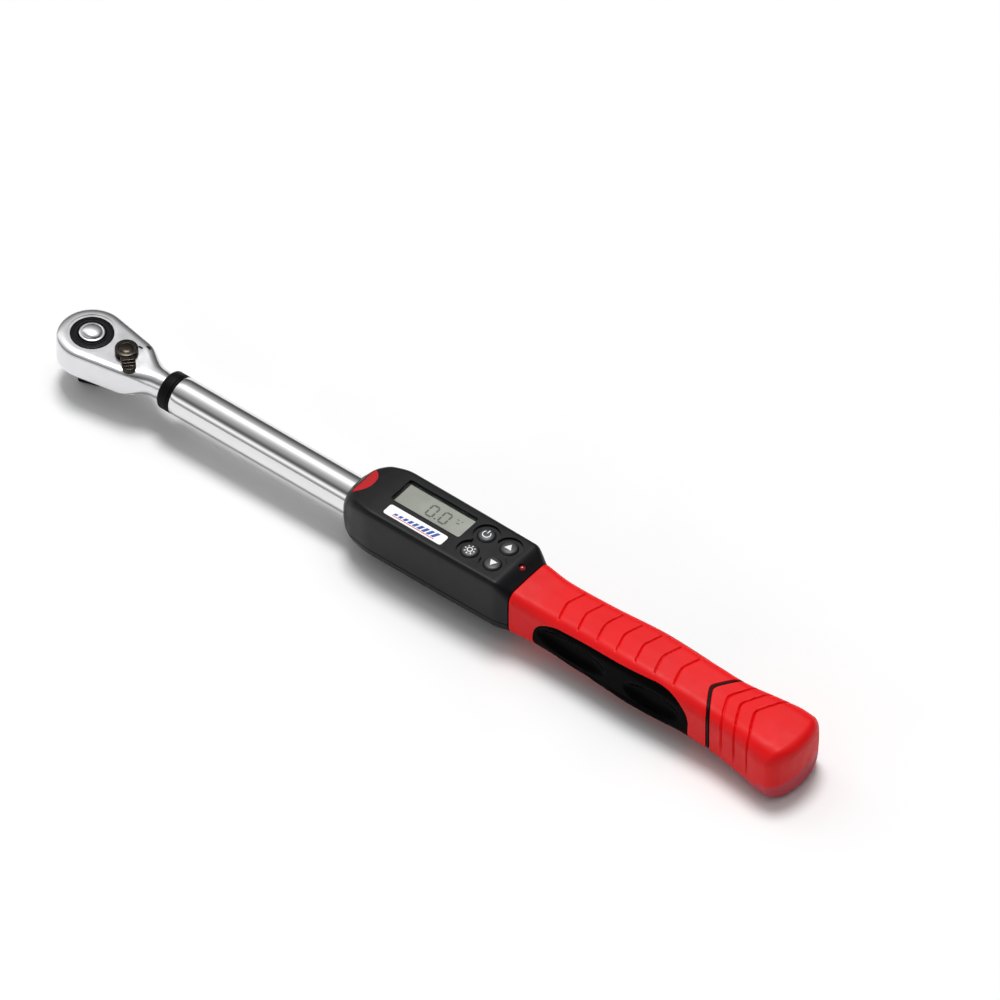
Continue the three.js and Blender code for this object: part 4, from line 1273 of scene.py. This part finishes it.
def grip_sleeve():
    surface = handle_surface()
    x0 = SLEEVE_START
    rings = surface.between(x0, chevron(0.0), 330)
    apexes = [GROOVE_FIRST + GROOVE_PITCH * i for i in range(GROOVE_COUNT)]
    depth = np.zeros(rings.shape[:2])
    for apex in apexes:
        line = apex + swept_back(rings[..., 1], GROOVE_SWEEP, GROOVE_HALF)
        depth += groove(rings[..., 0] - line, 1.25, 1.2)
    depth *= top_share(rings)
    front = np.clip(1 - (rings[..., 0] - x0) / 0.8, 0, 1)
    depth += 0.8 * (1 - np.sqrt(np.clip(1 - front**2, 0, 1)))
    back = np.clip(1 - (chevron(0.0)(rings[..., 1]) - rings[..., 0]) / 0.5, 0, 1)
    depth += 0.5 * (1 - np.sqrt(np.clip(1 - back**2, 0, 1)))
    rings = sunk(rings, depth)
    rings[-1, :, 0] = chevron(0.0)(rings[-1, :, 1])
    face = [to_circle(rings[-1], BORE_R, share, chevron(0.0)) for share in (0.25, 0.5, 0.75, 1.0)]
    start = to_circle(rings[0], BORE_R, 1.0, steady(x0))
    shape = skin(list(rings) + face + [start], ends="looped")
    obj = new_piece("grip", shape, "grip_red", "wrench", "grip_sleeve", radius=0, sharp=42)
    for side in (1, -1):
        y0, y1 = sorted((side * INSERT_IN, side * 30))
        combine(obj, side_slab(insert_outline(0.0), y0, y1))
    shade(obj, 42)


def bend(p0, p1, p2, steps=8):
    """Points on a quadratic curve, without its first."""
    t = np.linspace(1 / steps, 1, steps)
    return list(zip(*((1 - t) ** 2 * a + 2 * t * (1 - t) * b + t * t * c for a, b, c in zip(p0, p1, p2))))


def insert_outline(inset):
    """Side panel outline in x and z: a low wave along the top, running off under the grip."""
    outline = [(310.0, -8.0)]
    outline += bend((310, -8), (310, 6), (326, 8.5))
    outline += bend((326, 8.5), (360, 10.6), (392, 11.6), 6)
    outline += bend((392, 11.6), (414, 11.4), (415, -4), 10)
    outline += [(413.4, -40.0), (318.0, -40.0), (318.0, -18.0)]
    outline += bend((318, -18), (310, -16), (310, -8))[:-1]
    if not inset:
        return outline
    points = np.array(outline)
    tangent = np.roll(points, -1, axis=0) - np.roll(points, 1, axis=0)
    tangent /= np.linalg.norm(tangent, axis=1, keepdims=True)
    inward = np.column_stack([tangent[:, 1], -tangent[:, 0]])
    return (points + inward * inset).tolist()


def hollow_depth(rings):
    """Thumb hollows and the three low ribs along the panel's bottom."""
    x, z = rings[..., 0], rings[..., 2]
    depth = np.zeros(x.shape)
    for centre_x, centre_z, half_long, tall, deep in HOLLOWS:
        reach = ((x - centre_x) / half_long) ** 2 + ((z - centre_z) / tall) ** 2
        inside = np.clip(1 - reach, 0, 1)
        depth = np.maximum(depth, deep * inside * (2 - inside))
    ribs = sum(np.exp(-(((z - level) / RIB_WIDTH) ** 2)) for level in RIB_LEVELS)
    along = np.clip((x - 322) / 12, 0, 1) * np.clip((408 - x) / 12, 0, 1)
    return depth - RIB_HEIGHT * ribs * along


def side_insert(side, node):
    surface = handle_surface(-0.1)
    rings = surface.between(305.0, 420.0, 190)
    on_side = np.clip((side * rings[..., 1] - 8) / 4, 0, 1)
    rings = sunk(rings, hollow_depth(rings) * on_side)
    obj = new_piece("panel_" + node.split("_")[2], skin(rings), "insert_black", "wrench", node, radius=0)
    y0, y1 = sorted((side * (INSERT_IN - 2.6), side * 30))
    combine(obj, side_slab(insert_outline(0.3), y0, y1), "INTERSECT")
    shade(obj, 40)
    edge_radius(obj, 0.35, 50)


def cap_gasket():
    surface = handle_surface(0.35)
    front, back = chevron(0.3), chevron(1.7)
    rings = surface.between(front, back, 6)
    front_face = [to_circle(rings[0], BORE_R, share, front) for share in (1.0, 0.75, 0.5, 0.25)]
    back_face = [to_circle(rings[-1], BORE_R, share, back) for share in (0.25, 0.5, 0.75, 1.0)]
    shape = skin(front_face + list(rings) + back_face, ends="looped")
    new_piece("gasket", shape, "dark_rubber", "cap", "cap_gasket", radius=0)


def butt_bow(rings):
    """How far the butt's end face curves back towards its sides and its foot."""
    near_end = np.clip((rings[..., 0] - 452.0) / (HANDLE_END - 452.0), 0, 1) ** 1.5
    to_sides = 6.5 * np.abs(rings[..., 1] / 22.0) ** 2.2
    to_foot = 1.5 * np.clip(-rings[..., 2] / 24.0, 0, 1) ** 2
    return near_end * (to_sides + to_foot)


def end_cap():
    surface = handle_surface()
    front = chevron(2.0)
    rings = surface.between(front, HANDLE_END, 150, lambda u: 1 - (1 - u) ** 1.25)
    depth = np.zeros(rings.shape[:2])
    for apex in CAP_GROOVES:
        line = apex + swept_back(rings[..., 1], CAP_SWEEP, GROOVE_HALF)
        depth += groove(rings[..., 0] - line, 1.5, 1.6)
    depth *= np.clip((rings[..., 2] + 13.0) / 8.0, 0, 1)
    lip = np.clip(1 - (rings[..., 0] - front(rings[..., 1])) / 0.6, 0, 1)
    depth += 0.6 * (1 - np.sqrt(np.clip(1 - lip**2, 0, 1)))
    rings = sunk(rings, depth)
    rings[..., 0] -= butt_bow(rings)
    outer, inner, tip, web = 8.9, 7.6, 403.0, 412.0
    face = [to_circle(rings[0], outer, share, front) for share in (1.0, 0.75, 0.5, 0.25)]
    profile = ((web, 0.05), (web, inner), (tip + 0.3, inner), (tip, inner + 0.3))
    profile += ((tip, outer - 0.4), (tip + 0.4, outer))
    spigot = [to_circle(rings[0], radius, 1.0, steady(x)) for x, radius in profile]
    shape = skin(spigot + face + list(rings))
    new_piece("butt_cap", shape, "grip_red", "cap", "end_cap", radius=0, sharp=42)


# ---- parts that keep their CAD shape ----
def numbered(name, count):
    return tuple(f"{name}_{k}" for k in range(1, count + 1))


# Finish, edge radius and nodes.
KEPT = (
    ("satin_chrome", 0.25, ("head_cover_plate",)),
    ("black_steel", 0.1, numbered("cover_screw", 3) + numbered("housing_screw", 4)),
    ("plain_steel", 0.2, ("sensor_beam",)),
    ("plain_steel", 0.15, ("pawl",)),
    ("plain_steel", 0.1, ("release_pin", "pawl_pin", "pawl_plunger", "beam_pin", "tube_pin")),
    ("plain_steel", 0.1, numbered("switch", 4)),
    ("plain_steel", 0.0, ("detent_ball", "lever_detent_ball")),
    ("spring_steel", 0.0, ("lever_detent_spring", "front_contact_spring", "rear_contact_spring")),
    ("gauge_foil", 0.02, ("strain_gauge_left", "strain_gauge_right")),
    ("cable_grey", 0.0, ("sensor_cable",)),
    ("grip_red", 0.12, ("nose_insert",)),
    ("clear_window", 0.1, ("display_window",)),
    ("lcd_grey", 0.1, ("lcd_panel",)),
    ("white_label", 0.08, ("label_plate",)),
    ("black_plastic", 0.15, ("keypad_bezel",)),
    ("board_green", 0.1, ("main_pcb",)),
    ("chip_black", 0.15, ("buzzer",)),
    ("chip_black", 0.1, ("processor_chip",)),
    ("black_plastic", 0.1, ("battery_tube",)),
    ("battery_jacket", 0.2, ("battery_front", "battery_rear")),
    ("brass", 0.1, ("front_contact", "rear_contact")),
)


def dress_kept_nodes():
    """Materials and small edge radii for the CAD nodes that stay."""
    for slot, radius, nodes in KEPT:
        for node in nodes:
            obj = bpy.data.objects[node]
            obj.data.materials.clear()
            obj.data.materials.append(FINISH[slot])
            if radius:
                round_edges(obj, radius)
    bpy.data.objects["nose_insert"].data.materials[0] = nose_red()
    bpy.data.objects["keypad_bezel"].data.materials[0] = keypad_gloss()


# ---- room, light and camera ----
FLOOR_HALF = 60.0
VIEW_AIM = (0.2392, 0.0455, AXIS * MM)
VIEW_AZIMUTH = math.radians(38.6)
VIEW_ELEVATION = math.radians(46.3)
VIEW_DISTANCE = 25.0
VIEW_LENS = 1710.0
SUN_DIRECTION = (-0.2, 0.22, 0.97)
SUN_STRENGTH = 1.95
SUN_SPREAD = math.radians(20)


def floor():
    s = Shader("studio floor")
    s.colour(s.mottled(160.0, 3.0, rgb(240, 240, 240), rgb(243, 243, 243)))
    s.rough(s.span(s.noise(60.0), 0.55, 0.65))
    s.bump((s.noise(2.0, 2.0), 0.01))
    mesh = bpy.data.meshes.new("floor")
    corners = [(x * FLOOR_HALF, y * FLOOR_HALF, 0) for x, y in ((-1, -1), (1, -1), (1, 1), (-1, 1))]
    mesh.from_pydata(corners, [], [(0, 1, 2, 3)])
    mesh.materials.append(s.material)
    obj = bpy.data.objects.new("floor", mesh)
    bpy.context.scene.collection.objects.link(obj)
    obj.location.z = -0.0002


# Brightness of the studio round the tube's axis: degrees from overhead, towards the near side.
STUDIO = (
    (-180, 0.6),
    (-100, 0.3),
    (-88, 0.1),
    (-70, 0.12),
    (-50, 0.36),
    (-37, 0.56),
    (-26, 1.25),
    (-7, 1.25),
    (3, 0.85),
    (15, 0.52),
    (31, 0.34),
    (40, 0.16),
    (50, 0.12),
    (57, 0.5),
    (64, 1.15),
    (71, 1.15),
    (80, 0.42),
    (90, 0.28),
    (180, 0.6),
)


def world_light():
    """A long studio tent: soft panels and dark gaps that run beside the wrench."""
    world = bpy.data.worlds.new("studio")
    world.use_nodes = True
    tree = world.node_tree
    add, join = tree.nodes.new, tree.links.new
    split = add("ShaderNodeSeparateXYZ")
    join(add("ShaderNodeTexCoord").outputs["Generated"], split.inputs["Vector"])
    towards_near = add("ShaderNodeMath")
    towards_near.operation = "MULTIPLY"
    towards_near.inputs[1].default_value = -1.0
    join(split.outputs["Y"], towards_near.inputs[0])
    angle = add("ShaderNodeMath")
    angle.operation = "ARCTAN2"
    join(towards_near.outputs[0], angle.inputs[0])
    join(split.outputs["Z"], angle.inputs[1])
    share = add("ShaderNodeMapRange")
    share.inputs["From Min"].default_value = -math.pi
    share.inputs["From Max"].default_value = math.pi
    join(angle.outputs[0], share.inputs["Value"])
    ramp = add("ShaderNodeValToRGB")
    join(share.outputs["Result"], ramp.inputs["Fac"])
    stops = ramp.color_ramp.elements
    while len(stops) < len(STUDIO):
        stops.new(0.5)
    brightest = max(level for _, level in STUDIO)
    for stop, (degrees, level) in zip(stops, STUDIO):
        stop.position = (degrees + 180) / 360
        stop.color = (level / brightest,) * 3 + (1.0,)
    fade = add("ShaderNodeMapRange")
    for key, value in (("From Min", 0.1), ("From Max", 0.8), ("To Min", brightest), ("To Max", 0.2)):
        fade.inputs[key].default_value = value
    join(split.outputs["X"], fade.inputs["Value"])
    back = tree.nodes["Background"]
    join(ramp.outputs["Color"], back.inputs["Color"])
    join(fade.outputs["Result"], back.inputs["Strength"])
    seen = add("ShaderNodeBackground")
    seen.inputs["Color"].default_value = rgb(246, 246, 246)
    mix = add("ShaderNodeMixShader")
    join(add("ShaderNodeLightPath").outputs["Is Camera Ray"], mix.inputs["Fac"])
    join(back.outputs["Background"], mix.inputs[1])
    join(seen.outputs["Background"], mix.inputs[2])
    join(mix.outputs["Shader"], tree.nodes["World Output"].inputs["Surface"])
    bpy.context.scene.world = world


def sun_light():
    data = bpy.data.lights.new("key", "SUN")
    data.energy = SUN_STRENGTH
    data.angle = SUN_SPREAD
    obj = bpy.data.objects.new("key", data)
    bpy.context.scene.collection.objects.link(obj)
    obj.rotation_euler = Vector(SUN_DIRECTION).to_track_quat("Z", "Y").to_euler()


def camera():
    across = math.cos(VIEW_ELEVATION)
    back = Vector((
        math.sin(VIEW_AZIMUTH) * across,
        -math.cos(VIEW_AZIMUTH) * across,
        math.sin(VIEW_ELEVATION),
    ))
    data = bpy.data.cameras.new("camera")
    data.sensor_width = 36.0
    data.lens = VIEW_LENS
    data.clip_end = 60.0
    obj = bpy.data.objects.new("camera", data)
    bpy.context.scene.collection.objects.link(obj)
    obj.location = Vector(VIEW_AIM) + back * VIEW_DISTANCE
    obj.rotation_euler = (-back).to_track_quat("-Z", "Y").to_euler()
    bpy.context.scene.camera = obj


def build():
    ratchet_head()
    drive_gear()
    release_button()
    release_spring()
    reversing_lever()
    direction_marks()
    neck_collar()
    main_tube()
    upper_housing()
    lower_housing()
    display()
    label()
    buttons()
    led()
    grip_sleeve()
    side_insert(1, "side_insert_left")
    side_insert(-1, "side_insert_right")
    cap_gasket()
    end_cap()
    dress_kept_nodes()


build()
floor()
world_light()
sun_light()
camera()
bpy.context.scene.view_settings.view_transform = "Standard"
